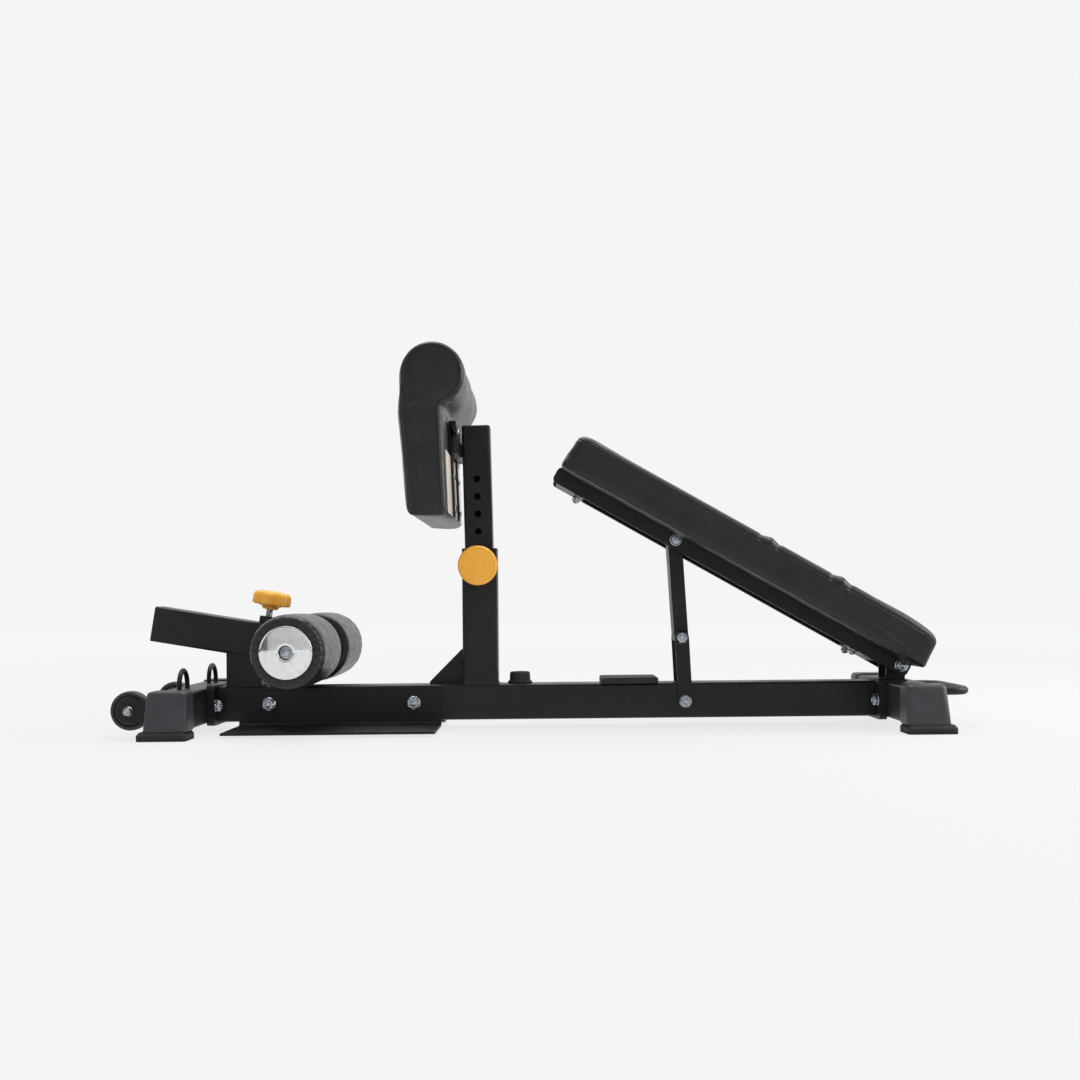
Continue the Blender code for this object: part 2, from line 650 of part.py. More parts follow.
# ---------------------------------------------------------------- calf pad
def build_upright(looks):
    """The fixed outer tube with its gusset, bush and spring pull pin."""
    hole = bmesh.new()
    rods(hole, [(UPRIGHT_X, PIN_Z)], PIN_RADIUS + HOLE_CLEARANCE, -TUBE, 0, "Y", 16)
    pin_tool = cutter("pin_hole_cutter", hole)
    left = UPRIGHT_X - TUBE / 2 + 0.001
    low = BEAM_TOP + GAP
    gusset = bmesh.new()
    outline = [(left - 0.060, low), (left, low), (left, low + 0.060), (left - 0.004, low + 0.060),
               (left - 0.060, low + 0.004)]
    prism(gusset, outline, -0.0025, 0.0025, "Y")
    gusset_tool = cutter("upright_gusset", gusset)
    bm = bmesh.new()
    pipe(bm, square(TUBE / 2), square(TUBE / 2 - UPRIGHT_WALL, 0.002), low, UPRIGHT_TOP, "Z")
    upright = piece("upright_tube", bm, looks["powder_coat"], (UPRIGHT_X, 0, 0))
    combine(upright, gusset_tool, "UNION")
    combine(upright, pin_tool)

    bore = bmesh.new()
    prism(bore, square(POST / 2 + GAP), -0.2, 0.1, "Z")
    bore_tool = cutter("post_clearance_cutter", bore, (POST_X, 0, UPRIGHT_TOP), (0, -POST_LEAN, 0))
    bm = bmesh.new()
    prism(bm, square(TUBE / 2 - UPRIGHT_WALL - GAP, 0.002), UPRIGHT_TOP - 0.050, UPRIGHT_TOP - GAP, "Z")
    bush = piece("post_bush", bm, looks["black_plastic"], (UPRIGHT_X, 0, 0))
    combine(bush, bore_tool)
    combine(bush, pin_tool)

    bm = bmesh.new()
    tight = PIN_RADIUS + HOLE_CLEARANCE
    barrel = [(tight, -TUBE / 2 - GAP), (0.013, -TUBE / 2 - GAP), (0.013, BARREL_END_Y + 0.001),
              (0.012, BARREL_END_Y), (tight, BARREL_END_Y), (tight, BARREL_END_Y + 0.003),
              (0.009, BARREL_END_Y + 0.003), (0.009, -0.0315), (tight, -0.0315)]
    turned(bm, barrel, "Y", 24, closed=True)
    piece("pin_barrel", bm, looks["zinc"], (UPRIGHT_X, 0, PIN_Z))

    pin_line = axis_empty("pull_pin_axis", (UPRIGHT_X, 0, PIN_Z))
    collar_outer, collar_inner = -0.043, -0.040
    bm = bmesh.new()
    pin = [(0.0035, PIN_TIP_Y), (PIN_RADIUS, PIN_TIP_Y - 0.002), (PIN_RADIUS, collar_inner),
           (0.0085, collar_inner), (0.0085, collar_outer), (PIN_RADIUS, collar_outer),
           (PIN_RADIUS, KNOB_BACK_Y - 0.006)]
    turned(bm, pin, "Y", 16)
    piece("pull_pin", bm, looks["zinc"], parent=pin_line)

    bm = bmesh.new()
    bore = PIN_RADIUS + GAP
    knob = [(bore, KNOB_BACK_Y - 0.006 - GAP), (bore, KNOB_BACK_Y + 0.014), (0.013, KNOB_BACK_Y + 0.014),
            (0.015, KNOB_BACK_Y), (0.031, KNOB_BACK_Y), (KNOB_RADIUS, KNOB_BACK_Y - 0.002),
            (KNOB_RADIUS, KNOB_FACE_Y + 0.002), (0.0315, KNOB_FACE_Y)]
    turned(bm, knob, "Y", 40)
    piece("pull_knob", bm, looks["yellow_plastic"], parent=pin_line)

    start, end = BARREL_END_Y + 0.003 + 2 * GAP, collar_outer - 2 * GAP
    wire, coil, turns, steps = 0.0006, 0.0073, 4, 14
    points = []
    for i in range(turns * steps + 1):
        turn = 2 * math.pi * i / steps
        along = start + wire + (end - start - 2 * wire) * i / (turns * steps)
        points.append((UPRIGHT_X + coil * math.cos(turn), along, PIN_Z + coil * math.sin(turn)))
    spring = bent_rod("pin_spring", points, wire, looks["zinc"])
    spring.data.bevel_resolution = 1


def build_calf_post(looks):
    """The inner post with its row of height holes in the near wall."""
    post = axis_empty("calf_post_axis", (POST_X, 0, UPRIGHT_TOP), (0, -POST_LEAN, 0))
    holes = bmesh.new()
    first = (PIN_Z - UPRIGHT_TOP) / math.cos(POST_LEAN)
    heights = [(0, first + i * HOLE_PITCH) for i in range(HOLE_COUNT)]
    rods(holes, heights, HOLE_RADIUS, -TUBE, 0, "Y", 20)
    hole_tool = cutter("post_hole_cutter", holes, parent=post)
    bm = bmesh.new()
    pipe(bm, square(POST / 2), square(POST / 2 - POST_WALL, 0.002), POST_BOTTOM, POST_TOP, "Z")
    combine(piece("calf_post", bm, looks["powder_coat"], parent=post), hole_tool)

    bm = bmesh.new()
    cover, plug = square(POST / 2), square(POST / 2 - POST_WALL - GAP, 0.002)
    loft(bm, [(plug, POST_TOP - 0.012), (plug, POST_TOP + GAP), (cover, POST_TOP + GAP),
              (cover, POST_TOP + 0.0025), (square(POST / 2 - 0.002), POST_TOP + 0.0035)], "Z")
    piece("calf_post_plug", bm, looks["black_plastic"], parent=post)
    return post


def calf_outline():
    """The pad's side view: a flat lower body under a round roll."""
    centre, radius = Vector(CALF_ROLL_CENTRE), CALF_ROLL_RADIUS
    reach = Vector(CALF_FRONT_HIGH) - centre
    tangent = math.degrees(math.atan2(reach.y, reach.x)) + 360
    tangent -= math.degrees(math.acos(radius / reach.length))
    back = -math.degrees(math.acos(-centre.x / radius))
    inset = -CALF_BOARD - GAP
    points = [(inset, 0.0), (CALF_FRONT_LOW[0] + 0.004, 0.0), (CALF_FRONT_LOW[0], 0.004), CALF_FRONT_HIGH]
    points += arc(CALF_ROLL_CENTRE, radius, tangent, back, 22)
    points += [(0.0, CALF_BOARD_TOP + GAP), (inset, CALF_BOARD_TOP + GAP)]
    return points


def build_calf_pad(looks, post):
    """The pad, its board, and the bracket that carries them on the inner post."""
    foot = Vector((CALF_FOOT[0], 0, CALF_FOOT[1]))
    turn = Matrix.Rotation(POST_LEAN, 4, "Y")
    local = turn @ (foot - Vector((POST_X, 0, UPRIGHT_TOP)))
    carrier = axis_empty("calf_pad_line", local, (0, POST_LEAN - CALF_LEAN, 0), post)

    bm = bmesh.new()
    block(bm, (-CALF_BOARD, -CALF_HALF_WIDTH + 0.010, 0.003), (0, CALF_HALF_WIDTH - 0.010, CALF_BOARD_TOP))
    piece("calf_board", bm, looks["board"], parent=carrier)

    bm = bmesh.new()
    prism(bm, calf_outline(), -CALF_HALF_WIDTH, CALF_HALF_WIDTH, "Y")
    piece("calf_pad", bm, looks["vinyl"], parent=carrier)

    tab = bmesh.new()
    back = CROSS_TUBE_DEPTH + GAP - 0.001
    lower = 0.0049
    prism(tab, [(back, CROSS_TUBE_LOW), (back + lower, CROSS_TUBE_LOW), (back + lower - 0.0012, 0.136),
                (back, 0.136)], -0.020, 0.020, "Y")
    tab_tool = cutter("calf_tab", tab, parent=carrier)
    bm = bmesh.new()
    outer = rounded_box((GAP, CROSS_TUBE_LOW), (CROSS_TUBE_DEPTH + GAP, CROSS_TUBE_HIGH), 0.002)
    inner = rounded_box((GAP + 0.002, CROSS_TUBE_LOW + 0.002),
                        (CROSS_TUBE_DEPTH + GAP - 0.002, CROSS_TUBE_HIGH - 0.002), 0.001)
    pipe(bm, outer, inner, -CROSS_TUBE_HALF, CROSS_TUBE_HALF, "Y")
    bracket = piece("calf_bracket", bm, looks["powder_coat"], parent=carrier)
    combine(bracket, tab_tool, "UNION")
    for name, side in (("near", -1), ("far", 1)):
        strap = bmesh.new()
        outline = rounded_box((side * STRAP_Y - STRAP_WIDTH / 2, 0.006),
                              (side * STRAP_Y + STRAP_WIDTH / 2, CROSS_TUBE_LOW + 0.004), 0.004)
        prism(strap, outline, GAP * 1.5, GAP + STRAP_THICK, "X")
        combine(bracket, cutter(f"calf_strap_{name}", strap, parent=carrier), "UNION")


# ---------------------------------------------------------------- bench
def build_bench(looks):
    """The long pad on its board, rails and cross plates, turning about the hinge bolt."""
    bench = axis_empty("bench_hinge_axis", (HINGE_X, 0, HINGE_Z), (0, -BENCH_SLOPE, math.pi))

    pivots = bmesh.new()
    rods(pivots, [(0, 0)], M12 + HOLE_CLEARANCE, -TUBE, TUBE, "Y", 20)
    rods(pivots, [(PROP_TOP_U, 0)], M10 + HOLE_CLEARANCE, -TUBE, TUBE, "Y", 20)
    pivot_tool = cutter("rail_hole_cutter", pivots, parent=bench)
    rail = rounded_box((RAIL_START, RAIL_LOW), (RAIL_END, RAIL_HIGH), 0.008, 3)
    far_rail = bmesh.new()
    prism(far_rail, rail, -RAIL_INNER_Y - RAIL_THICK, -RAIL_INNER_Y, "Y")
    bm = bmesh.new()
    prism(bm, rail, RAIL_INNER_Y, RAIL_INNER_Y + RAIL_THICK, "Y")
    frame = piece("bench_frame", bm, looks["powder_coat"], parent=bench)
    for index, (start, end) in enumerate(CROSS_PLATES):
        plate = bmesh.new()
        block(plate, (start, -RAIL_INNER_Y - 0.001, RAIL_LOW + 0.0001),
              (end - 0.009 * index, RAIL_INNER_Y + 0.001, RAIL_LOW + RAIL_THICK))
        combine(frame, cutter(f"cross_plate_{index}", plate, parent=bench), "UNION")
    combine(frame, cutter("far_rail", far_rail, parent=bench), "UNION")
    combine(frame, pivot_tool)

    bm = bmesh.new()
    block(bm, (BOARD_START, -BOARD_HALF_WIDTH, RAIL_HIGH + GAP),
          (BOARD_END, BOARD_HALF_WIDTH, RAIL_HIGH + BOARD_THICK))
    piece("bench_board", bm, looks["board"], parent=bench)

    pocket = bmesh.new()
    block(pocket, (BOARD_START - GAP, -BOARD_HALF_WIDTH - GAP, -0.02),
          (BOARD_END + GAP, BOARD_HALF_WIDTH + GAP, RAIL_HIGH + BOARD_THICK + GAP))
    pocket_tool = cutter("board_pocket_cutter", pocket, parent=bench)
    notch = bmesh.new()
    half = RAIL_INNER_Y + 0.019
    block(notch, (PAD_START - 0.01, -half, -0.02), (PAD_END + 0.01, half, RAIL_HIGH + GAP))
    notch_tool = cutter("rail_notch_cutter", notch, parent=bench)
    bm = bmesh.new()
    full = rounded_box((PAD_START, -PAD_HALF_WIDTH), (PAD_END, PAD_HALF_WIDTH), 0.014, 3)
    slim = rounded_box((PAD_START + 0.008, -PAD_HALF_WIDTH + 0.008),
                       (PAD_END - 0.008, PAD_HALF_WIDTH - 0.008), 0.010, 3)
    loft(bm, [(full, PAD_LIP), (full, PAD_TOP - 0.008), (slim, PAD_TOP)], "Z")
    pad = piece("bench_pad", bm, looks["vinyl"], parent=bench)
    combine(pad, pocket_tool)
    combine(pad, notch_tool)

    grip = RAIL_INNER_Y + RAIL_THICK
    bm = bmesh.new()
    through_bolt(bm, M12, 0.012, grip, "Y")
    piece("bench_hinge_bolt", bm, looks["zinc"], parent=bench)
    bm = bmesh.new()
    through_bolt(bm, M10, 0.011, grip, "Y", (PROP_TOP_U, 0))
    piece("prop_top_bolt", bm, looks["zinc"], parent=bench)
    return bench


def build_hinge_bracket(looks):
    """The channel on the rear crossbar, with the sleeve that the bench's hinge bolt turns in."""
    low = BEAM_TOP + GAP
    front, half, thick = HINGE_X - 0.022, 0.026, 0.003
    rear = HINGE_X + 0.0105
    round_corner = arc((HINGE_X, HINGE_Z), 0.0105, 0, 90, 6)
    side = [(front, low), (rear, low)] + round_corner + [(front, HINGE_Z + 0.0105)]
    bm = bmesh.new()
    prism(bm, side, -half, half, "Y")
    bracket = piece("hinge_bracket", bm, looks["powder_coat"])
    inside = bmesh.new()
    block(inside, (front - 0.01, -half + thick, low + thick), (rear + 0.01, half - thick, HINGE_Z + 0.03))
    combine(bracket, cutter("bracket_channel_cutter", inside))
    sleeve = bmesh.new()
    prism(sleeve, circle(0.009, 20, (HINGE_X, HINGE_Z)), -RAIL_INNER_Y + GAP, RAIL_INNER_Y - GAP, "Y")
    combine(bracket, cutter("bracket_sleeve", sleeve), "UNION")
    hole = bmesh.new()
    rods(hole, [(HINGE_X, HINGE_Z)], M12 + HOLE_CLEARANCE, -TUBE, TUBE, "Y", 20)
    combine(bracket, cutter("bracket_hole_cutter", hole))


def build_prop(looks, bench):
    """The two-part folding prop: a box link under a pair of flat bars."""
    slope = Vector((-math.cos(BENCH_SLOPE), math.sin(BENCH_SLOPE)))
    top = Vector((HINGE_X, HINGE_Z)) + PROP_TOP_U * slope
    knee, foot = Vector(KNEE), Vector(PROP_FOOT)
    radius = LINK_WIDTH / 2

    reach = knee - top
    tilt = math.atan2(reach.x, -reach.y)
    upper = axis_empty("prop_upper_axis", (PROP_TOP_U, 0, 0), (0, -BENCH_SLOPE - tilt, math.pi), bench)
    inside = bmesh.new()
    span = reach.length + LINK_WIDTH
    block(inside, (-radius + LINK_WALL, -LINK_HALF_DEPTH + LINK_WALL, -span),
          (radius - LINK_WALL, LINK_HALF_DEPTH - LINK_WALL, LINK_WIDTH))
    inside_tool = cutter("link_hollow_cutter", inside, parent=upper)
    hole = bmesh.new()
    rods(hole, [(0, 0)], M10 + HOLE_CLEARANCE, -TUBE, TUBE, "Y", 16)
    hole_tool = cutter("link_hole_cutter", hole, parent=upper)
    bm = bmesh.new()
    prism(bm, stadium((0, 0), (0, -reach.length), radius), -LINK_HALF_DEPTH, LINK_HALF_DEPTH, "Y")
    link = piece("prop_upper_link", bm, looks["powder_coat"], parent=upper)
    combine(link, inside_tool)
    sleeve = bmesh.new()
    prism(sleeve, circle(0.009, 20), -RAIL_INNER_Y + GAP, RAIL_INNER_Y - GAP, "Y")
    combine(link, cutter("link_sleeve", sleeve, parent=upper), "UNION")
    combine(link, hole_tool)

    rise = knee - foot
    lean = math.atan2(rise.x, rise.y)
    lower = axis_empty("prop_lower_axis", (foot.x, 0, foot.y), (0, lean, 0))
    hole = bmesh.new()
    rods(hole, [(0, 0)], M12 + HOLE_CLEARANCE, -TUBE, TUBE, "Y", 16)
    bar_tool = cutter("bar_hole_cutter", hole, parent=lower)
    seat = BAR_INNER_Y + BAR_THICK
    rivet = [(circle(M10, 12), LINK_HALF_DEPTH + 0.0004), (circle(M10, 12), seat - 0.001),
             (circle(0.011, 12), seat - 0.001), (circle(0.011, 12), seat + 0.0018),
             (hexagon(0.016), seat + 0.0018), (hexagon(0.016), seat + 0.0065)]
    for name, side in (("near", -1), ("far", 1)):
        stud = bmesh.new()
        rings = [([(a, b + rise.length) for a, b in outline], side * height) for outline, height in rivet]
        loft(stud, rings, "Y")
        stud_tool = cutter(f"knee_stud_{name}", stud, parent=lower)
        bm = bmesh.new()
        walls = sorted((side * BAR_INNER_Y, side * seat))
        prism(bm, stadium((0, 0), (0, rise.length), radius), walls[0], walls[1], "Y")
        bar = piece(f"prop_lower_bar_{name}", bm, looks["powder_coat"], parent=lower)
        combine(bar, bar_tool)
        combine(bar, stud_tool, "UNION")


def main():
    for thing in list(bpy.data.objects):
        bpy.data.objects.remove(thing, do_unlink=True)
    looks = {
        "powder_coat": finish("powder_coat", (0.011, 0.011, 0.012), 0.45),
        "vinyl": finish("vinyl", (0.020, 0.021, 0.023), 0.50),
        "slate_plastic": finish("slate_plastic", (0.060, 0.058, 0.070), 0.55),
        "rubber": finish("rubber", (0.015, 0.015, 0.015), 0.80),
        "wheel_plastic": finish("wheel_plastic", (0.012, 0.012, 0.012), 0.50),
        "black_plastic": finish("black_plastic", (0.014, 0.014, 0.014), 0.50),
        "yellow_plastic": finish("yellow_plastic", (0.913, 0.462, 0.045), 0.40),
        "chrome": finish("chrome", (0.80, 0.80, 0.80), 0.05, 1.0),
        "zinc": finish("zinc", (0.55, 0.57, 0.58), 0.30, 1.0),
        "board": finish("board", (0.55, 0.55, 0.54), 0.70),
    }
    build_beam(looks)
    build_feet(looks)
    build_wheels(looks)
    build_rods(looks)
    build_foot_plates(looks)
    build_stops(looks)
    slide = build_arm(looks)
    build_rollers(looks, slide)
    build_upright(looks)
    post = build_calf_post(looks)
    build_calf_pad(looks, post)
    bench = build_bench(looks)
    build_hinge_bracket(looks)
    build_prop(looks, bench)


main()
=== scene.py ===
# %% [markdown]
# A squat and sit-up bench, finished for looks
#
# The CAD model of the bench comes in as a fixed frame: every tube, plate and bolt already has its place.
# This file gives each of them the surface of the real thing, and makes the soft and finely shaped pieces
# (pads, rollers, knobs, nuts, soles) again with more detail. Everything is in metres, X along the bench
# from the transport wheels to the hinge, Y across it, Z up from the floor.

# %% Load the frame
import json
import math

import bmesh
import bpy
import numpy as np
from mathutils import Matrix, Vector
from mathutils.bvhtree import BVHTree


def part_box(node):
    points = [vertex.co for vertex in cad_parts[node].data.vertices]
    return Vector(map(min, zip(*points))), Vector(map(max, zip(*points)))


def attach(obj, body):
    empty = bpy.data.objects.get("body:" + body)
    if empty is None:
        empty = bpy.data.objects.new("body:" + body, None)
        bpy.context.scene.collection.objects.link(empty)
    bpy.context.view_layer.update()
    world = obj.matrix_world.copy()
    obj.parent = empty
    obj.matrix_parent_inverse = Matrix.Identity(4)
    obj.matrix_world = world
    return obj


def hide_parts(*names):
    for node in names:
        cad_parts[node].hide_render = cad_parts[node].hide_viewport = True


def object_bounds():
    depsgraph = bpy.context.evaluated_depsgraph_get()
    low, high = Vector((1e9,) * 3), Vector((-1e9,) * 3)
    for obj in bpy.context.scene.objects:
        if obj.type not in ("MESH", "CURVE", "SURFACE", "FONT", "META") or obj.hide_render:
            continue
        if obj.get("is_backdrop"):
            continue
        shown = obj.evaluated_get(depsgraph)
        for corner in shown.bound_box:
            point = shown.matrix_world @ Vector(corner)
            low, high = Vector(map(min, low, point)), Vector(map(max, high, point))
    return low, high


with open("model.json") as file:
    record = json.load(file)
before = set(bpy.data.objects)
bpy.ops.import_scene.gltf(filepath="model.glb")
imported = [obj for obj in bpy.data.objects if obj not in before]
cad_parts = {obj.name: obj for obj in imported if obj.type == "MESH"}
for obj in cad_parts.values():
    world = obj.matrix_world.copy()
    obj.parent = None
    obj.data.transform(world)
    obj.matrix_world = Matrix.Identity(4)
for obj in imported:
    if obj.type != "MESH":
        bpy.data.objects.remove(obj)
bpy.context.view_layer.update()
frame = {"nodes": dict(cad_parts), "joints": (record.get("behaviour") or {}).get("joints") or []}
joints = {joint["name"]: joint for joint in frame["joints"]}
MM = 0.001


# %% [markdown]
# The camera
#
# A bench like this is shown from the side, from low down and rather far away, so that the long tubes
# stay nearly parallel. The lens is a short telephoto for a 36 mm sensor. The small shift moves the picture
# on the sensor, which keeps the uprights upright where tilting the camera would make them lean.

# %% Camera
camera_data = bpy.data.cameras.new("side_camera")
camera_data.lens = 43.96
camera_data.sensor_width = 36.0
camera_data.shift_x = -0.0065
camera_data.shift_y = 0.0574
camera = bpy.data.objects.new("side_camera", camera_data)
bpy.context.scene.collection.objects.link(camera)
level = Matrix.Rotation(math.radians(90.0), 4, "X")
roll = Matrix.Rotation(math.radians(-0.55), 4, "Z")
camera.matrix_world = Matrix.Translation((0.003, -2.284, 0.215)) @ level @ roll
bpy.context.scene.camera = camera
bpy.context.scene.view_settings.view_transform = "Standard"
print("camera at", tuple(round(c, 3) for c in camera.location))


# %% [markdown]
# Colours and nodes
#
# Colours are written as the sRGB hex codes that a paint chart or a colour picker gives. Shaders count in
# linear light, so one function converts them. A second function adds a node with its settings, its
# constant inputs and its links in one line, which keeps each material short enough to read.

# %% Colour and node helpers
def linear(code):
    """An sRGB hex colour as linear red, green, blue and alpha."""
    srgb = np.array([int(code[i:i + 2], 16) for i in (1, 3, 5)]) / 255.0
    light = np.where(srgb <= 0.04045, srgb / 12.92, ((srgb + 0.055) / 1.055) ** 2.4)
    return (*light.tolist(), 1.0)


def add(tree, kind, inputs=None, links=None, **settings):
    """Add a node: settings are its options, inputs its constant sockets, links (node, output) per socket."""
    node = tree.nodes.new(kind)
    for option, value in settings.items():
        setattr(node, option, value)
    for socket, value in (inputs or {}).items():
        node.inputs[socket].default_value = value
    for socket, (source, output) in (links or {}).items():
        tree.links.new(source.outputs[output], node.inputs[socket])
    return node


def finish(name, colour, roughness, **constants):
    """A material with the Principled shader's own sockets set, and object coordinates to draw with."""
    material = bpy.data.materials.new(name)
    material.use_nodes = True
    tree = material.node_tree
    shader = tree.nodes["Principled BSDF"]
    shader.inputs["Base Color"].default_value = linear(colour)
    shader.inputs["Roughness"].default_value = roughness
    for socket, value in constants.items():
        shader.inputs[socket.replace("_", " ")].default_value = value
    place = add(tree, "ShaderNodeTexCoord")
    return material, tree, shader, place


def grain(tree, place, size_mm, detail=2.0, rough=0.5, stretch=None):
    """Noise whose blotches are size_mm across, drawn out along an axis where stretch says."""
    source = (place, "Object")
    if stretch:
        source = (add(tree, "ShaderNodeMapping", {"Scale": stretch}, {"Vector": source}), "Vector")
    return add(tree, "ShaderNodeTexNoise", {"Scale": 1000.0 / size_mm, "Detail": detail,
                                            "Roughness": rough},
               {"Vector": source})


def spread(tree, source, low, high, start=0.3, end=0.7, output="Fac"):
    """Stretch a pattern's middle values over low to high."""
    return add(tree, "ShaderNodeMapRange", {"From Min": start, "From Max": end, "To Min": low,
                                            "To Max": high},
               {"Value": (source, output)})


def tint(tree, shader, source, dark, light, start=0.35, end=0.65, output="Fac"):
    """Let a pattern run the base colour between two hex colours."""
    ramp = add(tree, "ShaderNodeValToRGB", None, {"Fac": (source, output)})
    ramp.color_ramp.elements[0].position = start
    ramp.color_ramp.elements[0].color = linear(dark)
    ramp.color_ramp.elements[1].position = end
    ramp.color_ramp.elements[1].color = linear(light)
    tree.links.new(ramp.outputs["Color"], shader.inputs["Base Color"])
    return ramp


def relief(tree, shader, layers):
    """Bumps laid one on another: (pattern, output, depth in mm, strength) for each layer."""
    below = None
    for source, output, depth_mm, strength in layers:
        links = {"Height": (source, output)}
        if below:
            links["Normal"] = (below, "Normal")
        below = add(tree, "ShaderNodeBump", {"Distance": depth_mm * MM, "Strength": strength}, links)
    tree.links.new(below.outputs["Normal"], shader.inputs["Normal"])


print("white", linear("#ffffff"), "amber", linear("#f0a52e"))


# %% [markdown]
# The stage
#
# Product pictures of this sort stand on a pale seamless floor. Here it is one large flat disc. Most of its
# brightness is its own, as with a light table, and the rest is diffuse, so that it still takes the soft
# shadow under the feet. The sky has the same pale tone where it is seen directly. What lights the bench is
# brighter behind and to the right, and dim on the near side, which is why black tubes stay black. A wide,
# dim card in front gives the chrome caps something pale to reflect.

# %% Floor, sky and lamps
PALE = "#f5f5f5"


def floor_disc(radius, sides=96):
    """A flat disc: angle by angle around the edge, with the middle as its pole."""
    turn = np.linspace(0, 2 * np.pi, sides, endpoint=False)
    rim = np.stack([radius * np.cos(turn), radius * np.sin(turn), np.zeros(sides)], axis=1)
    points = np.vstack([rim, [[0, 0, 0]]])
    around = np.arange(sides)
    faces = np.stack([around, (around + 1) % sides, np.full(sides, sides)], axis=1)
    mesh = bpy.data.meshes.new("studio_floor")
    mesh.from_pydata(points.tolist(), [], faces.tolist())
    return mesh


floor = bpy.data.objects.new("studio_floor", floor_disc(9.0))
bpy.context.scene.collection.objects.link(floor)
paper, tree, shader, place = finish("seamless_paper", "#5a5a5a", 0.9, Emission_Strength=0.84,
                                    Specular_IOR_Level=0.0)
fibre = grain(tree, place, 4.0)
tint(tree, shader, fibre, "#585858", "#5c5c5c")
away = add(tree, "ShaderNodeVectorMath", None, {0: (place, "Object")}, operation="LENGTH")
fade = spread(tree, away, 0.0, 1.0, 0.8, 4.5, "Value")
glow = add(tree, "ShaderNodeValToRGB", None, {"Fac": (fade, "Result")})
glow.color_ramp.elements[0].color = linear("#f4f4f4")
glow.color_ramp.elements[1].color = linear("#ffffff")
tree.links.new(glow.outputs["Color"], shader.inputs["Emission Color"])
floor.data.materials.append(paper)
floor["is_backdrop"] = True
print("floor", floor.name)

# %% Sky
world = bpy.data.worlds.new("studio")
world.use_nodes = True
bpy.context.scene.world = world
sky = world.node_tree
where = add(sky, "ShaderNodeTexCoord")
apart = add(sky, "ShaderNodeSeparateXYZ", None, {"Vector": (where, "Generated")})
behind = add(sky, "ShaderNodeMapRange", {"From Min": -0.7, "From Max": 1.0, "To Min": 0.10,
                                         "To Max": 0.85},
             {"Value": (apart, "Y")})
rightward = add(sky, "ShaderNodeMapRange", {"From Min": -0.2, "From Max": 1.0, "To Min": 0.0,
                                            "To Max": 0.35},
                {"Value": (apart, "X")})
above = add(sky, "ShaderNodeMapRange", {"From Min": 0.0, "From Max": 1.0, "To Min": 0.0, "To Max": 0.5},
            {"Value": (apart, "Z")})
lit = add(sky, "ShaderNodeMath", None, {0: (behind, "Result"), 1: (rightward, "Result")}, operation="ADD")
lit = add(sky, "ShaderNodeMath", None, {0: (lit, "Value"), 1: (above, "Result")}, operation="ADD")
room = sky.nodes["Background"]
sky.links.new(lit.outputs["Value"], room.inputs["Strength"])
room.inputs["Color"].default_value = (1, 1, 1, 1)
seen = add(sky, "ShaderNodeBackground", {"Color": linear(PALE), "Strength": 1.0})
ray = add(sky, "ShaderNodeLightPath")
both = add(sky, "ShaderNodeMixShader", None, {0: (ray, "Is Camera Ray"), 1: (room, "Background"),
                                              2: (seen, "Background")})
sky.links.new(both.outputs["Shader"], sky.nodes["World Output"].inputs["Surface"])


print("sky", world.name)


# %% Lamps
def lamp(name, size, power, at, towards, colour="#ffffff"):
    """A square soft box of the given side, which faces a point."""
    data = bpy.data.lights.new(name, "AREA")
    data.size = size
    data.energy = power
    data.color = linear(colour)[:3]
    box = bpy.data.objects.new(name, data)
    bpy.context.scene.collection.objects.link(box)
    box.location = at
    box.rotation_euler = (Vector(towards) - Vector(at)).to_track_quat("-Z", "Y").to_euler()
    return box


lamp("right_soft_box", 1.4, 46.0, (2.4, -0.35, 1.1), (0.0, 0.0, 0.2), "#fff0e2")
lamp("top_soft_box", 2.2, 42.0, (0.0, 0.5, 2.4), (0.0, 0.0, 0.2))
lamp("left_fill", 1.2, 3.0, (-1.8, -1.6, 0.8), (-0.3, 0.0, 0.2))
front_card = lamp("front_card", 3.0, 7.0, (-0.4, -4.2, 0.84), (-0.2, 0.0, 0.3))
front_card.data.shape = "RECTANGLE"
front_card.data.size_y = 1.6
print("lamps", [light.name for light in bpy.data.lights])


# %% [markdown]
# Building surfaces from arrays
#
# Nearly every new piece is one of four shapes: something turned on a lathe, a stack of outlines, a
# rod bent along a path, or a sheet of points worked out from two numbers. Each helper works out
# its points as whole arrays. A shape is a stack of rings with the same count of points, and the stack is
# skinned with quads and closed at each end by a fan around one middle point.

# %% Surface helpers
def unit(v):
    """Vectors divided by their length."""
    v = np.asarray(v, float)
    return v / np.linalg.norm(v, axis=-1, keepdims=True)


def skin(rings, closed=False):
    """Rings of points (ring, around, xyz) joined by quads. Ends are closed by fans, or joined if closed."""
    rings = np.asarray(rings, float)
    count, sides = rings.shape[:2]
    index = np.arange(count * sides).reshape(count, sides)
    upper = np.roll(index, -1, axis=0) if closed else index[1:]
    lower = index if closed else index[:-1]
    quads = np.stack([lower, np.roll(lower, -1, 1), np.roll(upper, -1, 1), upper], axis=-1).reshape(-1, 4)
    points, faces = rings.reshape(-1, 3), quads.tolist()
    if not closed:
        points = np.vstack([points, rings[0].mean(0), rings[-1].mean(0)])
        first, last = count * sides, count * sides + 1
        start = np.stack([np.roll(index[0], -1), index[0], np.full(sides, first)], axis=1)
        end = np.stack([index[-1], np.roll(index[-1], -1), np.full(sides, last)], axis=1)
        faces += start.tolist() + end.tolist()
    return points, faces


def facing_out(points, faces):
    """The faces, turned round if the shape's signed volume is negative."""
    triangles = np.array([[f[0], f[i], f[i + 1]] for f in faces for i in range(1, len(f) - 1)])
    a, b, c = (points[triangles[:, i]] for i in range(3))
    volume = np.einsum("ij,ij->i", a, np.cross(b, c)).sum()
    return [f[::-1] for f in faces] if volume < 0 else faces


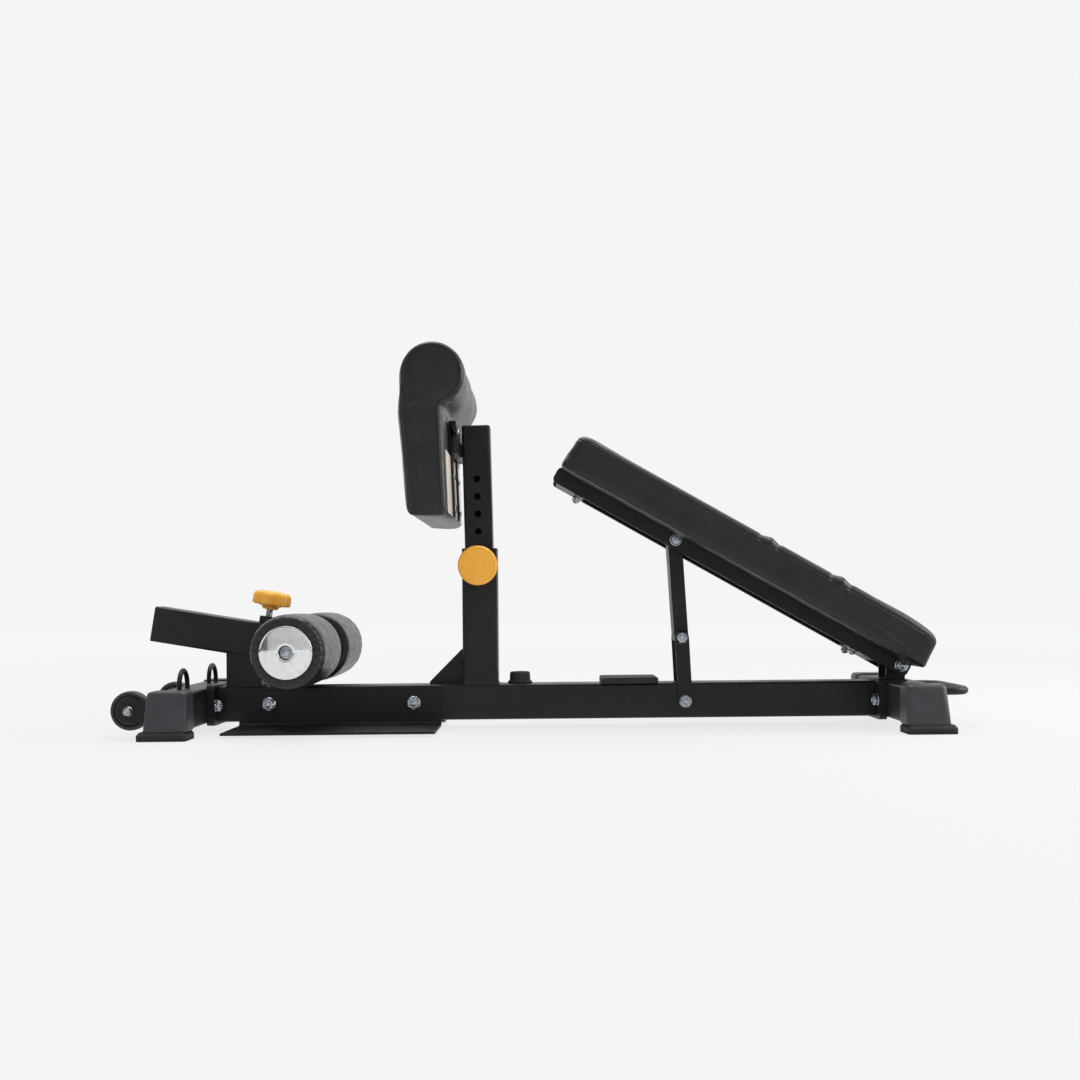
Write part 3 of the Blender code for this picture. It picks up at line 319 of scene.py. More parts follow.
def soften(corners, radius, steps=4, closed=False):
    """Round each corner of a line: a parabola from a point before the corner to one after it."""
    p = np.asarray(corners, float)
    before, after = np.roll(p, 1, 0), np.roll(p, -1, 0)
    reach_in = np.linalg.norm(before - p, axis=1, keepdims=True)
    reach_out = np.linalg.norm(after - p, axis=1, keepdims=True)
    cut = np.minimum(np.minimum(reach_in, reach_out) * 0.49, np.reshape(radius, (-1, 1)))
    start = p + (before - p) / np.maximum(reach_in, 1e-9) * cut
    end = p + (after - p) / np.maximum(reach_out, 1e-9) * cut
    t = np.linspace(0, 1, steps + 1)[None, :, None]
    bent = (1 - t) ** 2 * start[:, None] + 2 * t * (1 - t) * p[:, None] + t ** 2 * end[:, None]
    if closed:
        return bent.reshape(-1, p.shape[1])
    return np.vstack([p[:1], bent[1:-1].reshape(-1, p.shape[1]), p[-1:]])


def inset(outline, depth):
    """An outline moved in by depth, along the bisector of its two sides at each point."""
    along = unit(np.roll(outline, -1, 0) - np.roll(outline, 1, 0))
    inward = np.stack([-along[:, 1], along[:, 0]], axis=1)
    area = np.cross(outline, np.roll(outline, -1, 0)).sum()
    return outline + inward * depth * np.sign(area)


def axes_about(axis):
    """Two directions square to an axis and to each other."""
    axis = unit(axis)
    side = np.array([0.0, 0.0, 1.0]) if abs(axis[2]) < 0.9 else np.array([1.0, 0.0, 0.0])
    first = unit(np.cross(side, axis))
    return first, np.cross(axis, first), axis


def turned(profile, centre, axis, sides=64, round_mm=0.5, steps=3, swell=None):
    """A lathe shape: radius and height pairs, softened, spun about the axis.

    swell(turn, radius, height) scales the radius."""
    line = soften(profile, round_mm * MM, steps)
    turn = np.linspace(0, 2 * np.pi, sides, endpoint=False)[None, :]
    radius, height = line[:, :1], line[:, 1:]
    wide = radius * (swell(turn, radius, height) if swell else np.ones_like(turn))
    first, second, along = axes_about(axis)
    rings = (np.asarray(centre, float) + wide[..., None] * (np.cos(turn)[...,
                                                            None] * first + np.sin(turn)[...,
                                                            None] * second)
             + height[..., None] * along)
    return skin(rings)


def bent_along(path, radius, square_to, sides=20, closed=False):
    """A rod: a circle carried along a flat path, square to its direction.

    square_to is the normal of the path's plane."""
    path = np.asarray(path, float)
    way = unit(np.roll(path, -1, 0) - np.roll(path, 1, 0) if closed else np.gradient(path, axis=0))
    normal = np.broadcast_to(unit(square_to), way.shape)
    side = unit(np.cross(way, normal))
    up = np.cross(side, way)
    turn = np.linspace(0, 2 * np.pi, sides, endpoint=False)[None, :, None]
    size = np.broadcast_to(np.reshape(radius, (-1, 1, 1)), (len(path), 1, 1))
    rings = path[:, None] + size * (np.cos(turn) * side[:, None] + np.sin(turn) * up[:, None])
    return skin(rings, closed)


def resample(path, step, closed=False):
    """Points at an even step along a line."""
    path = np.vstack([path, path[:1]]) if closed else np.asarray(path, float)
    reach = np.concatenate([[0], np.cumsum(np.linalg.norm(np.diff(path, axis=0), axis=1))])
    count = max(int(reach[-1] / step), 4)
    at = np.linspace(0, reach[-1], count + 1)[:count if closed else None]
    return np.stack([np.interp(at, reach, path[:, i]) for i in range(path.shape[1])], axis=1)


def oblong(low, high, radius, steps=6):
    """A rectangle with round corners, as a closed line."""
    corners = [(low[0], low[1]), (high[0], low[1]), (high[0], high[1]), (low[0], high[1])]
    return soften(corners, radius, steps, closed=True)


def make(name, shapes, material, body, stands_for=(), crease=32.0):
    """Merge closed shapes into one object that rides on a body, with edges over crease degrees kept sharp."""
    points, faces, shift = [], [], 0
    for shape_points, shape_faces in shapes:
        points.append(shape_points)
        faces += [[i + shift for i in f] for f in facing_out(shape_points, shape_faces)]
        shift += len(shape_points)
    mesh = bpy.data.meshes.new(name)
    mesh.from_pydata(np.vstack(points).tolist(), [], faces)
    mesh.update()
    mesh.shade_smooth()
    mesh.set_sharp_from_angle(angle=math.radians(crease))
    mesh.materials.append(material)
    thing = bpy.data.objects.new(name, mesh)
    bpy.context.scene.collection.objects.link(thing)
    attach(thing, body)
    if stands_for:
        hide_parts(*stands_for)
    return thing


print("helpers ready")


# %% [markdown]
# Satin powder coat
#
# The steel tubes are powder coated: dry paint powder is baked onto them and flows into a skin about 0.1 mm
# thick. It is an even charcoal black with a fine orange peel, a soft satin shine, and faint lighter rubs
# where a cloth or another part has passed. The peel is drawn at 1.5 mm, a little coarser than life, because
# finer than that it would not show.

# %% Powder coat
def powder_coat(name, colour, rubbed, roughness=0.42):
    """Fine orange peel, with faint lighter rubs drawn out along X."""
    material, tree, shader, place = finish(name, colour, roughness, IOR=1.5, Specular_IOR_Level=0.3)
    peel = grain(tree, place, 1.5, detail=3.0)
    cloud = grain(tree, place, 60.0, detail=3.0)
    rub = grain(tree, place, 5.0, detail=5.0, rough=0.7, stretch=(0.06, 1.0, 1.0))
    mixed = add(tree, "ShaderNodeMath", {1: 0.6}, {0: (rub, "Fac"), 2: (cloud, "Fac")},
                operation="MULTIPLY_ADD")
    tint(tree, shader, mixed, colour, rubbed, 0.72, 1.02, "Value")
    shine = spread(tree, cloud, roughness - 0.05, roughness + 0.08)
    tree.links.new(shine.outputs["Result"], shader.inputs["Roughness"])
    relief(tree, shader, [(peel, "Fac", 0.05, 0.35), (rub, "Fac", 0.02, 0.25)])
    return material


powder = powder_coat("satin_powder_coat", "#111213", "#1c1d20")
powder_plate = powder_coat("powder_coat_on_plate", "#111112", "#1c1c1f", 0.5)
print("powder coats", powder.name, powder_plate.name)


# %% [markdown]
# Moulded plastics and rubber
#
# The foot caps are injection-moulded ABS in slate grey, with the fine spark-eroded texture of the mould.
# The tube plugs are black polyethylene, a little waxy. The soles, the rest pad and the bump stop are dull
# black rubber. The knobs are amber ABS, smoother, with a slight sheen. Each gets a grit of its own size.

# %% Plastics and rubber
def moulded(name, colour, lighter, roughness, grit_mm, depth_mm, blotch_mm=25.0, **constants):
    """The mould's grit as relief, and slow blotches in the colour."""
    material, tree, shader, place = finish(name, colour, roughness, **constants)
    grit = grain(tree, place, grit_mm, detail=2.0)
    blotch = grain(tree, place, blotch_mm, detail=4.0)
    tint(tree, shader, blotch, colour, lighter)
    shine = spread(tree, grit, roughness - 0.06, min(roughness + 0.08, 1.0))
    tree.links.new(shine.outputs["Result"], shader.inputs["Roughness"])
    relief(tree, shader, [(grit, "Fac", depth_mm, 0.5)])
    return material


slate_abs = moulded("slate_abs_textured", "#2c2b32", "#35343b", 0.5, 0.9, 0.05, IOR=1.53)
plug_plastic = moulded("black_polyethylene", "#0f0f10", "#171719", 0.5, 1.4, 0.03, IOR=1.51)
sole_rubber = moulded("black_sole_rubber", "#131314", "#1b1b1c", 0.72, 1.2, 0.08, IOR=1.52)
wheel_plastic = moulded("black_wheel_polyurethane", "#1b1b1d", "#252527", 0.45, 1.6, 0.04, IOR=1.5)
amber_abs = moulded("amber_abs", "#f4ad30", "#f8b63c", 0.36, 0.8, 0.02, 14.0, IOR=1.53,
                    Subsurface_Weight=0.04)
print("plastics", slate_abs.name, plug_plastic.name, sole_rubber.name, wheel_plastic.name, amber_abs.name)


# %% [markdown]
# Zinc plate and chrome
#
# The nuts, bolts and washers are zinc-plated steel with a bluish passivation: grey metal, slightly cloudy,
# with fine crystals. The end caps of the rollers are chrome plated and almost a mirror, with only a few
# hairlines from wiping. Both are metals, so all their colour is in the reflection.

# %% Metals
def plated(name, colour, lighter, roughness, crystal_mm, depth_mm, hairline=0.0):
    """Fine crystals in the shine, cloudy colour, and hairlines where wiping leaves them."""
    material, tree, shader, place = finish(name, colour, roughness, Metallic=1.0)
    crystal = grain(tree, place, crystal_mm, detail=3.0)
    cloud = grain(tree, place, 9.0, detail=3.0)
    tint(tree, shader, cloud, colour, lighter)
    shine = spread(tree, crystal, max(roughness - 0.08, 0.02), roughness + 0.08)
    tree.links.new(shine.outputs["Result"], shader.inputs["Roughness"])
    layers = [(crystal, "Fac", depth_mm, 0.3)]
    if hairline:
        wiped = grain(tree, place, 0.7, detail=2.0, stretch=(0.05, 1.0, 1.0))
        layers.append((wiped, "Fac", hairline, 0.15))
    relief(tree, shader, layers)
    return material


zinc = plated("blue_zinc_plate", "#8e959f", "#b4bac2", 0.2, 0.8, 0.006)
chrome = plated("chrome_plate", "#dcdddf", "#e8e9ea", 0.06, 1.2, 0.0015, 0.002)
print("metals", zinc.name, chrome.name)


# %% [markdown]
# Upholstery vinyl
#
# The pads are covered in PVC leathercloth: a knitted backing coated with vinyl that is pressed with a
# pebble grain of about 1.5 mm. It is charcoal black with a silky shine. Where the cover is pulled tight
# around a corner it shows short shallow wrinkles, drawn here as a slow noise a few centimetres long.
# The rollers wear a softer, smoother cover.

# %% Vinyl
def leathercloth(name, colour, lighter, roughness, pebble_mm, wrinkle, along=(0.35, 1.0, 1.0)):
    material, tree, shader, place = finish(name, colour, roughness, IOR=1.5, Specular_IOR_Level=0.4)
    pebble = add(tree, "ShaderNodeTexVoronoi", {"Scale": 1000.0 / pebble_mm, "Randomness": 1.0},
                 {"Vector": (place, "Object")}, feature="SMOOTH_F1")
    crease = grain(tree, place, 9.0, detail=4.0, rough=0.6, stretch=along)
    cloud = grain(tree, place, 45.0, detail=3.0)
    tint(tree, shader, cloud, colour, lighter)
    shine = spread(tree, crease, roughness - 0.05, roughness + 0.1)
    tree.links.new(shine.outputs["Result"], shader.inputs["Roughness"])
    relief(tree, shader, [(pebble, "Distance", 0.12, 0.35), (crease, "Fac", 0.9, wrinkle)])
    return material


vinyl = leathercloth("charcoal_leathercloth", "#17181a", "#1e1f21", 0.36, 1.6, 0.2)
roller_vinyl = leathercloth("soft_roller_vinyl", "#17171a", "#1f1e21", 0.34, 1.4, 0.15, (1.0, 0.4, 1.0))
welt_vinyl = leathercloth("piping_vinyl", "#101113", "#16171a", 0.35, 1.2, 0.15)
print("vinyls", vinyl.name, roller_vinyl.name, welt_vinyl.name)


# %% [markdown]
# The backing boards
#
# Each pad is stapled to a 12 mm board. The board is birch plywood with a pale sanded face. Its grain runs
# the long way of the bench in streaks about 3 mm wide.

# %% Plywood
def plywood(name):
    material, tree, shader, place = finish(name, "#c4bfb6", 0.5)
    fibre = grain(tree, place, 3.0, detail=4.0, rough=0.6, stretch=(0.05, 1.0, 1.0))
    tint(tree, shader, fibre, "#b5afa5", "#d0ccc4")
    relief(tree, shader, [(fibre, "Fac", 0.05, 0.4)])
    return material


birch = plywood("birch_plywood")
print("board", birch.name)


# %% [markdown]
# Dressing the frame
#
# The CAD nodes that already have the right shape keep it and only take a finish. They are grouped by what
# they are made of, as a maker's parts list is.

# %% Finishes on the CAD nodes
painted = ["main_beam", "front_crossbar", "rear_crossbar", "wheel_fork_near", "wheel_fork_far",
           "arm_sleeve",
           "upright_tube", "hinge_bracket", "roller_arm", "calf_post", "calf_bracket", "bench_frame",
           "prop_upper_link", "prop_lower_bar_near", "prop_lower_bar_far"]
dressing = {
    powder: painted,
    powder_plate: ["foot_plate_near", "foot_plate_far"],
    sole_rubber: ["rest_pad"],
    plug_plastic: ["arm_sleeve_cap", "roller_arm_plug", "calf_post_plug", "post_bush"],
    zinc: ["pin_barrel", "pin_spring", "pull_pin", "roller_axle"],
    birch: ["bench_board"],
}
for material, names in dressing.items():
    for name in names:
        materials = frame["nodes"][name].data.materials
        for index in range(max(len(materials), 1)):
            if index < len(materials):
                materials[index] = material
            else:
                materials.append(material)
print("dressed", sum(len(names) for names in dressing.values()), "CAD nodes")


# %% [markdown]
# Blowing up a pad
#
# A gym pad is a block of firm foam on a board, with the cover pulled over it and stapled underneath. The
# foam pushes the cover out a little between its edges. The block is remeshed evenly, treated as cloth with
# air pressure inside, and held where it lies on the board. Free pressure blows it out by centimetres, far
# more than firm foam would, so each point's movement is pressed down to about 2 mm. The simulation gives
# the direction of the swell and the cap gives its size, which leaves it nearly even. Seams, ribs and folds
# are formulas, added afterwards.

# %% Cloth helper
def object_from(name, points, faces):
    """An object in the scene, its faces turned outwards."""
    mesh = bpy.data.meshes.new(name)
    mesh.from_pydata(np.asarray(points).tolist(), [], facing_out(np.asarray(points), faces))
    thing = bpy.data.objects.new(name, mesh)
    bpy.context.scene.collection.objects.link(thing)
    return thing


def points_of(mesh):
    """A mesh's points as rows of x, y, z."""
    flat = np.empty(len(mesh.vertices) * 3, np.float32)
    mesh.vertices.foreach_get("co", flat)
    return flat.reshape(-1, 3).astype(float)


def normals_of(mesh):
    """A mesh's normals, point by point."""
    flat = np.empty(len(mesh.vertices) * 3, np.float32)
    mesh.vertex_normals.foreach_get("vector", flat)
    return flat.reshape(-1, 3).astype(float)


def bake(thing):
    """Replace a mesh by what its modifiers make of it."""
    bpy.context.view_layer.update()
    done = bpy.data.meshes.new_from_object(thing.evaluated_get(bpy.context.evaluated_depsgraph_get()))
    thing.modifiers.clear()
    thing.data = done


CLOTH_FRAMES = 20


def puffed(name, shape, voxel_mm, pressure, cap_mm, held):
    """Remesh a closed shape, let pressure push it out by at most cap_mm, and subdivide it.

    Where held(points) is true the cloth is pinned."""
    thing = object_from(name, *shape)
    remesh = thing.modifiers.new("even", "REMESH")
    remesh.mode = "VOXEL"
    remesh.voxel_size = voxel_mm * MM
    remesh.use_smooth_shade = True
    bake(thing)
    start = points_of(thing.data)
    weight = held(start)
    group = thing.vertex_groups.new(name="held")
    group.add(np.flatnonzero(weight > 0.5).tolist(), 1.0, "REPLACE")
    cloth = thing.modifiers.new("cover", "CLOTH")
    cloth.settings.use_pressure = True
    cloth.settings.uniform_pressure_force = pressure
    cloth.settings.vertex_group_mass = "held"
    cloth.settings.tension_stiffness = 12.0
    cloth.settings.effector_weights.gravity = 0.0
    cloth.point_cache.frame_start = 1
    cloth.point_cache.frame_end = CLOTH_FRAMES
    for step in range(1, CLOTH_FRAMES + 1):
        bpy.context.scene.frame_set(step)
    bake(thing)
    moved = points_of(thing.data) - start
    reach = np.linalg.norm(moved, axis=1, keepdims=True)
    limit = cap_mm * MM
    eased = start + moved / np.maximum(reach, 1e-9) * limit * np.tanh(reach / limit)
    thing.data.vertices.foreach_set("co", eased.astype(np.float32).ravel())
    bpy.context.scene.frame_set(1)
    print(name, "swelled by up to", round(float(reach.max()) / MM, 1), "mm, capped at", cap_mm)
    fine = thing.modifiers.new("fine", "SUBSURF")
    fine.levels = fine.render_levels = 1
    bake(thing)
    return thing


def shift_points(thing, moved):
    """Write new places for a mesh's points."""
    thing.data.vertices.foreach_set("co", moved.astype(np.float32).ravel())
    thing.data.update()


def settle(thing, material, body, stands_for):
    """Give a pad its finish and its body, and hide the CAD part it stands for."""
    thing.data.materials.clear()
    thing.data.materials.append(material)
    thing.data.shade_smooth()
    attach(thing, body)
    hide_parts(stands_for)


def cast(tree, starts, ways):
    """Where rays from starts along ways meet a surface. A ray that misses keeps its start."""
    hits = [tree.ray_cast(Vector(s), Vector(w))[0] for s, w in zip(starts, ways)]
    return np.array([tuple(h) if h is not None else tuple(s) for h, s in zip(hits, starts)])


def frame_matrix(origin, across, along, up):
    """The matrix from a pad's own axes to the bench's."""
    return np.column_stack([across, along, up]), np.asarray(origin, float)


def to_world(points, axes):
    """Points in a pad's own axes, turned and moved to the bench's."""
    turn, origin = axes
    return np.asarray(points) @ turn.T + origin


def own_box(node, axes):
    """A CAD node's lowest and highest corner in a pad's own axes."""
    turn, origin = axes
    local = (points_of(frame["nodes"][node].data) - origin) @ turn
    return local.min(0), local.max(0)


def stitches(path, out, length_mm=3.6, pitch_mm=5.0, thick_mm=0.42):
    """Short threads along a path, half sunk: each is a six-sided bead with three rings and two tips."""
    spots = resample(path, pitch_mm * MM)
    way = unit(np.gradient(spots, axis=0))
    out = np.broadcast_to(unit(out), way.shape)
    side = unit(np.cross(way, out))
    turn = np.linspace(0, 2 * np.pi, 6, endpoint=False)[None, None, :, None]
    reach = (np.array([-0.42, 0.0, 0.42]) * length_mm * MM)[None, :, None, None]
    size = (np.array([0.6, 1.0, 0.6]) * thick_mm * MM)[None, :, None, None]
    rings = (spots[:, None, None] + way[:, None, None] * reach
             + size * (np.cos(turn) * side[:, None, None] + np.sin(turn) * out[:, None, None]))
    tips = spots[:, None] + way[:, None] * (np.array([-0.5, 0.5]) * length_mm * MM)[None, :, None]
    points = np.concatenate([rings.reshape(len(spots), 18, 3), tips], axis=1)
    ring = np.arange(6)
    after = (ring + 1) % 6
    quads = np.concatenate([np.stack([ring + k, after + k, after + k + 6, ring + k + 6],
                                     axis=1) for k in (0, 6)])
    ends = np.concatenate([np.stack([after, ring, np.full(6, 18)], axis=1),
                           np.stack([ring + 12, after + 12, np.full(6, 19)], axis=1)])
    base = (np.arange(len(spots)) * 20)[:, None, None]
    return points.reshape(-1, 3), (quads[None] + base).reshape(-1,
                                                            4).tolist() + (ends[None] + base).reshape(-1,
                                                            3).tolist()


print("pad helpers ready")


# %% [markdown]
# The bench pad
#
# The long pad is about 66 mm thick over its board. Its sides are one strip of vinyl and its top another,
# sewn together just below the top edge with a thin piping. Two padded ribs cross the top below the middle,
# where the back rests. The pad is worked out in its own axes: u up the slope from the hinge, y across, n
# out of the top.

# %% Bench pad
SLOPE = math.radians(29.7)
hinge_at = np.array(joints["bench_tilt"]["pos_m"], float)
bench_axes = frame_matrix(hinge_at, (-math.cos(SLOPE), 0, math.sin(SLOPE)), (0, 1, 0),
                          (math.sin(SLOPE), 0, math.cos(SLOPE)))
pad_low, pad_high = own_box("bench_pad", bench_axes)
SWELL = 1.6 * MM
RIBS = (0.170, 0.305)
TOP_SEAM = 0.011


def pad_block(low, high):
    """A block with round corners: outlines stacked from the board up.

    Each is drawn in as the top edge rounds over."""
    turn = np.linspace(0, np.pi / 2, 6)
    edge = 0.013
    heights = np.concatenate([[low[2], low[2] + 0.003], high[2] - edge + edge * np.sin(turn)])
    ins = np.concatenate([[0.0015, 0.0], edge * (1 - np.cos(turn))])
    rings = []
    for height, depth in zip(heights, ins):
        flat = oblong((low[0] + depth, low[1] + depth), (high[0] - depth, high[1] - depth),
                      0.016 - depth * 0.4)
        rings.append(np.column_stack([flat, np.full(len(flat), height)]))
    return skin(np.array(rings))


block = pad_block(pad_low + (SWELL, SWELL, 0.0), pad_high - (SWELL, SWELL, SWELL))
bench_pad = puffed("bench_pad_cover", block, 5.0, 4.0, 2.2, lambda p: p[:, 2] < pad_low[2] + 0.004)

print("bench block", len(bench_pad.data.vertices), "points")

# %% Ribs, seam and nose
p = points_of(bench_pad.data)
out = normals_of(bench_pad.data)
rib_rise = sum(np.exp(-((p[:, 0] - u) / 0.0075) ** 2) for u in RIBS) * 0.0032
rib_dip = sum(np.exp(-((np.abs(p[:, 0] - u) - 0.017) / 0.0035) ** 2) for u in RIBS) * -0.0016
on_top = np.clip((p[:, 2] - (pad_high[2] - 0.016)) / 0.006, 0, 1)
seam_dip = -0.0011 * np.exp(-((p[:, 2] - (pad_high[2] - TOP_SEAM)) / 0.0026) ** 2)
pull = 0.0003 * np.sin(p[:, 0] * 95 + np.sin(p[:, 0] * 37) * 2) * np.exp(-((p[:,
                                                            2] - pad_low[2]) / 0.018) ** 2)
folds = 0.0002 * np.sin((p[:, 0] * 0.8 + p[:, 2]) * 300) * np.exp(-((p[:,
                                                            0] - pad_high[0]) / 0.022) ** 2) * (1 - on_top)
nose = 0.009 * np.clip((0.055 - p[:, 0]) / 0.075, 0, 1) ** 1.6 * np.clip((p[:, 2] - pad_low[2]) / 0.066,
                                                            0, 1)
moved = p + out * ((rib_rise + rib_dip) * on_top + seam_dip + pull + folds)[:, None] - nose[:, None] * (0,
                                                            0, 1)
shift_points(bench_pad, moved)
surface = BVHTree.FromPolygons(moved.tolist(), [tuple(f.vertices) for f in bench_pad.data.polygons])

print("moved by up to", round(float(np.abs(moved - p).max()) / MM, 2), "mm")

# %% Bench piping and stitches
around = resample(oblong(pad_low[:2] - 0.01, pad_high[:2] + 0.01, 0.026), 0.004, closed=True)
height = (pad_high[2] - TOP_SEAM - 0.008 * np.clip((0.055 - around[:, :1]) / 0.075, 0, 1) ** 1.6)
middle = np.column_stack([np.clip(around[:, 0], pad_low[0] + 0.03, pad_high[0] - 0.03),
                          np.clip(around[:, 1], -0.09, 0.09)])
seam_path = cast(surface, np.hstack([around, height]), np.hstack([unit(middle - around),
                                                            np.zeros_like(height)]))
rib_paths = []
for u in RIBS:
    for offset in (-0.0155, 0.0155):
        across = np.linspace(pad_low[1] + 0.019, pad_high[1] - 0.019, 70)
        above = np.column_stack([np.full(70, u + offset), across, np.full(70, 0.12)])
        rib_paths.append(cast(surface, above, np.tile((0.0, 0.0, -1.0), (70, 1))))

shift_points(bench_pad, to_world(moved, bench_axes))
settle(bench_pad, vinyl, "bench", "bench_pad")
up = bench_axes[0][:, 2]
make("bench_pad_piping", [bent_along(to_world(seam_path, bench_axes), 1.3 * MM, up, 10, closed=True)],
     welt_vinyl, "bench")
make("bench_pad_stitches", [stitches(to_world(path, bench_axes), up) for path in rib_paths], welt_vinyl,
     "bench")
print("bench pad", len(bench_pad.data.polygons), "faces")


# %% [markdown]
# The calf pad
#
# Seen from its end, the calf pad is shaped like a P: a flat block in front of its board, with a roll along
# the top that the thighs press on. Its end panels are sewn in with piping that follows the outline a few
# millimetres inside the edge. The block is the outline carried across the bench, then blown up like the
# long pad and held at its back, where the board is.

# %% Calf pad
LEAN = math.radians(1.975)
calf_at = np.array((-0.153, 0.0, 0.353))
calf_axes = frame_matrix(calf_at, (math.cos(LEAN), 0, math.sin(LEAN)), (0, 1, 0), (-math.sin(LEAN), 0,
                                                            math.cos(LEAN)))
calf_high = own_box("calf_pad", calf_axes)[1]
backing_low, backing_high = own_box("calf_board", calf_axes)
ROLL = np.array((-0.0149, 0.2287))
ROLL_SIZE = 0.0533


def calf_outline(shrink=0.0):
    """The P: up the back, round the roll by an arc, and down the sloping front.

    Every side is moved in by shrink."""
    turn = np.radians(np.linspace(-73.8, 174.0, 44))
    roll = ROLL + (ROLL_SIZE - shrink) * np.stack([np.cos(turn), np.sin(turn)], axis=1)
    front = np.array([(-0.0746 + shrink, 0.1707), (-0.0659 + shrink, shrink)])
    back = np.array([(-0.0012, shrink), (-0.0012, 0.1662)])
    return resample(soften(np.vstack([roll, front, back]), 0.011, 4, closed=True), 0.005, closed=True)


def calf_block(shrink, half):
    """The outline carried across from one end to the other, drawn in at both ends to round the rims."""
    turn = np.linspace(0, np.pi / 2, 5)
    edge = 0.007
    depth = np.concatenate([edge * (1 - np.sin(turn)), edge * (1 - np.sin(turn[::-1]))])
    place_y = np.concatenate([-half + edge * (1 - np.cos(turn)), half - edge * (1 - np.cos(turn[::-1]))])
    flat = calf_outline(shrink)
    rings = [np.column_stack([ring[:, 0], np.full(len(ring), y), ring[:, 1]])
             for ring, y in ((inset(flat, d), y) for d, y in zip(depth, place_y))]
    return skin(np.array(rings))


half_width = calf_high[1] - SWELL
calf_pad = puffed("calf_pad_cover", calf_block(SWELL, half_width), 4.0, 4.0, 2.2,
                  lambda p: (p[:, 0] > -0.004) & (p[:, 2] < 0.164))
print("calf block", len(calf_pad.data.vertices), "points")

# %% Calf pad seams
p = points_of(calf_pad.data)
out = normals_of(calf_pad.data)
ease = 0.0006 * np.sin(p[:, 1] * 41 + 2 * np.sin(p[:, 2] * 60)) * np.clip((p[:, 2] - 0.17) / 0.03, 0,
                                                            1) * (np.abs(p[:, 1]) < 0.18)
moved = p + out * ease[:, None]
moved[:, 0] = np.where(moved[:, 2] < 0.166, np.minimum(moved[:, 0], -0.0010), moved[:, 0])
shift_points(calf_pad, moved)
surface = BVHTree.FromPolygons(moved.tolist(), [tuple(f.vertices) for f in calf_pad.data.polygons])
welts = []
threads = []
for side in (-1, 1):
    line = inset(calf_outline(SWELL * 0.4), 0.0075)
    begin = np.column_stack([line[:, 0], np.full(len(line), side * 0.23), line[:, 1]])
    way = np.tile((0.0, -float(side), 0.0), (len(line), 1))
    path = cast(surface, begin, way)
    welts.append(bent_along(to_world(path, calf_axes), 1.4 * MM, (0, 1, 0), 10, closed=True))
    inner = inset(calf_outline(SWELL * 0.4), 0.0125)
    begin = np.column_stack([inner[:, 0], np.full(len(inner), side * 0.23), inner[:, 1]])
    threads.append(stitches(to_world(cast(surface, begin, way), calf_axes), (0, side, 0)))
shift_points(calf_pad, to_world(moved, calf_axes))
settle(calf_pad, vinyl, "calf_rest", "calf_pad")
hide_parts("calf_board")
make("calf_pad_piping", welts, welt_vinyl, "calf_rest")
make("calf_pad_stitches", threads, welt_vinyl, "calf_rest")
print("calf pad", len(calf_pad.data.polygons), "faces")


# %% [markdown]
# The ankle rollers
#
# Each roller is a sleeve of foam 120 mm across in a vinyl cover. The cover is longer than the foam and is
# gathered round the end with a drawstring, under the chrome cap, so the ring round the cap is all pleats.
# The surface is a function of two numbers: how far along the profile, and the turn around the axle. The
# pleats are a rounded wave of the turn, with uneven spacing, strongest in the ring and dying out along the
# sleeve. No cloth is simulated here: the folds are finer than the mesh that the pads are simulated on.

# %% Ankle rollers
axle = np.array(joints["roller_near_spin"]["pos_m"], float)


def roller_shape(side, seed):
    """Radius and height along the profile, spun around the axle, with folds as a wave of the turn."""
    low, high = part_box("ankle_roller_" + ("near" if side < 0 else "far"))
    inner, outer = sorted((abs(low.y), abs(high.y)))
    size = (high.z - low.z) / 2
    corners = [(0.0125, inner + 0.004), (0.046, inner + 0.001), (size - 0.002, inner + 0.003),
               (size, inner + 0.014),
               (size + 0.0006, (inner + outer) / 2), (size, outer - 0.015), (size - 0.004, outer - 0.003),
               (0.046, outer - 0.0005), (0.040, outer - 0.003), (0.0125, outer - 0.004)]
    line = resample(soften(corners, 0.008, 5), 0.0012)
    radius, height = line[:, :1], line[:, 1:]
    turn = np.linspace(0, 2 * np.pi, 280, endpoint=False)[None, :]
    phase = np.random.default_rng(seed).uniform(0, 2 * np.pi, 4)
    uneven = turn + 0.05 * np.sin(3 * turn + phase[0]) + 0.035 * np.sin(7 * turn + phase[1])
    fold = np.abs(np.cos(12 * uneven + phase[2])) ** 0.8
    ring = np.exp(-((height - outer) / 0.010) ** 2) * np.clip((radius - 0.036) / 0.008, 0, 1)
    trail = np.exp(-((height - outer) / 0.030) ** 2)
    soft = 0.00025 * np.sin(5 * turn + phase[3]
        + height * 60) * np.sin((height - inner) / (outer - inner) * np.pi * 3)
    wide = radius + 0.0007 * (fold - 0.75) * trail * np.clip((radius - 0.05) / 0.01, 0,
                                                            1) + soft * (radius > 0.055)
    along = height + 0.0019 * (fold - 0.9) * ring
    y = side * along + axle[1]
    return skin(np.stack([axle[0] + wide * np.cos(turn), y, axle[2] + wide * np.sin(turn)], axis=-1))


for side, name, seed in ((-1, "near", 4), (1, "far", 9)):
    roller = make(f"roller_cover_{name}", [roller_shape(side, seed)], roller_vinyl, f"roller_{name}",
                  [f"ankle_roller_{name}"], 60)
    print(roller.name, len(roller.data.polygons), "faces")


# %% [markdown]
# Nuts, washers and bolt ends
#
# A hex nut is a hexagonal bar cut off and turned to a cone at both ends, which leaves the curved corners
# that catch the light. As a formula: the distance to the hexagon's side at each turn, and at the two ends
# no more than a circle just wider than the flats. A thread is drawn as rings at the real pitch.

# %% Fastener shapes
def hex_radius(across, turn):
    """Distance from the middle to the side of a hexagon, at each turn around it."""
    return across / 2 / np.cos((turn % (np.pi / 3)) - np.pi / 6)


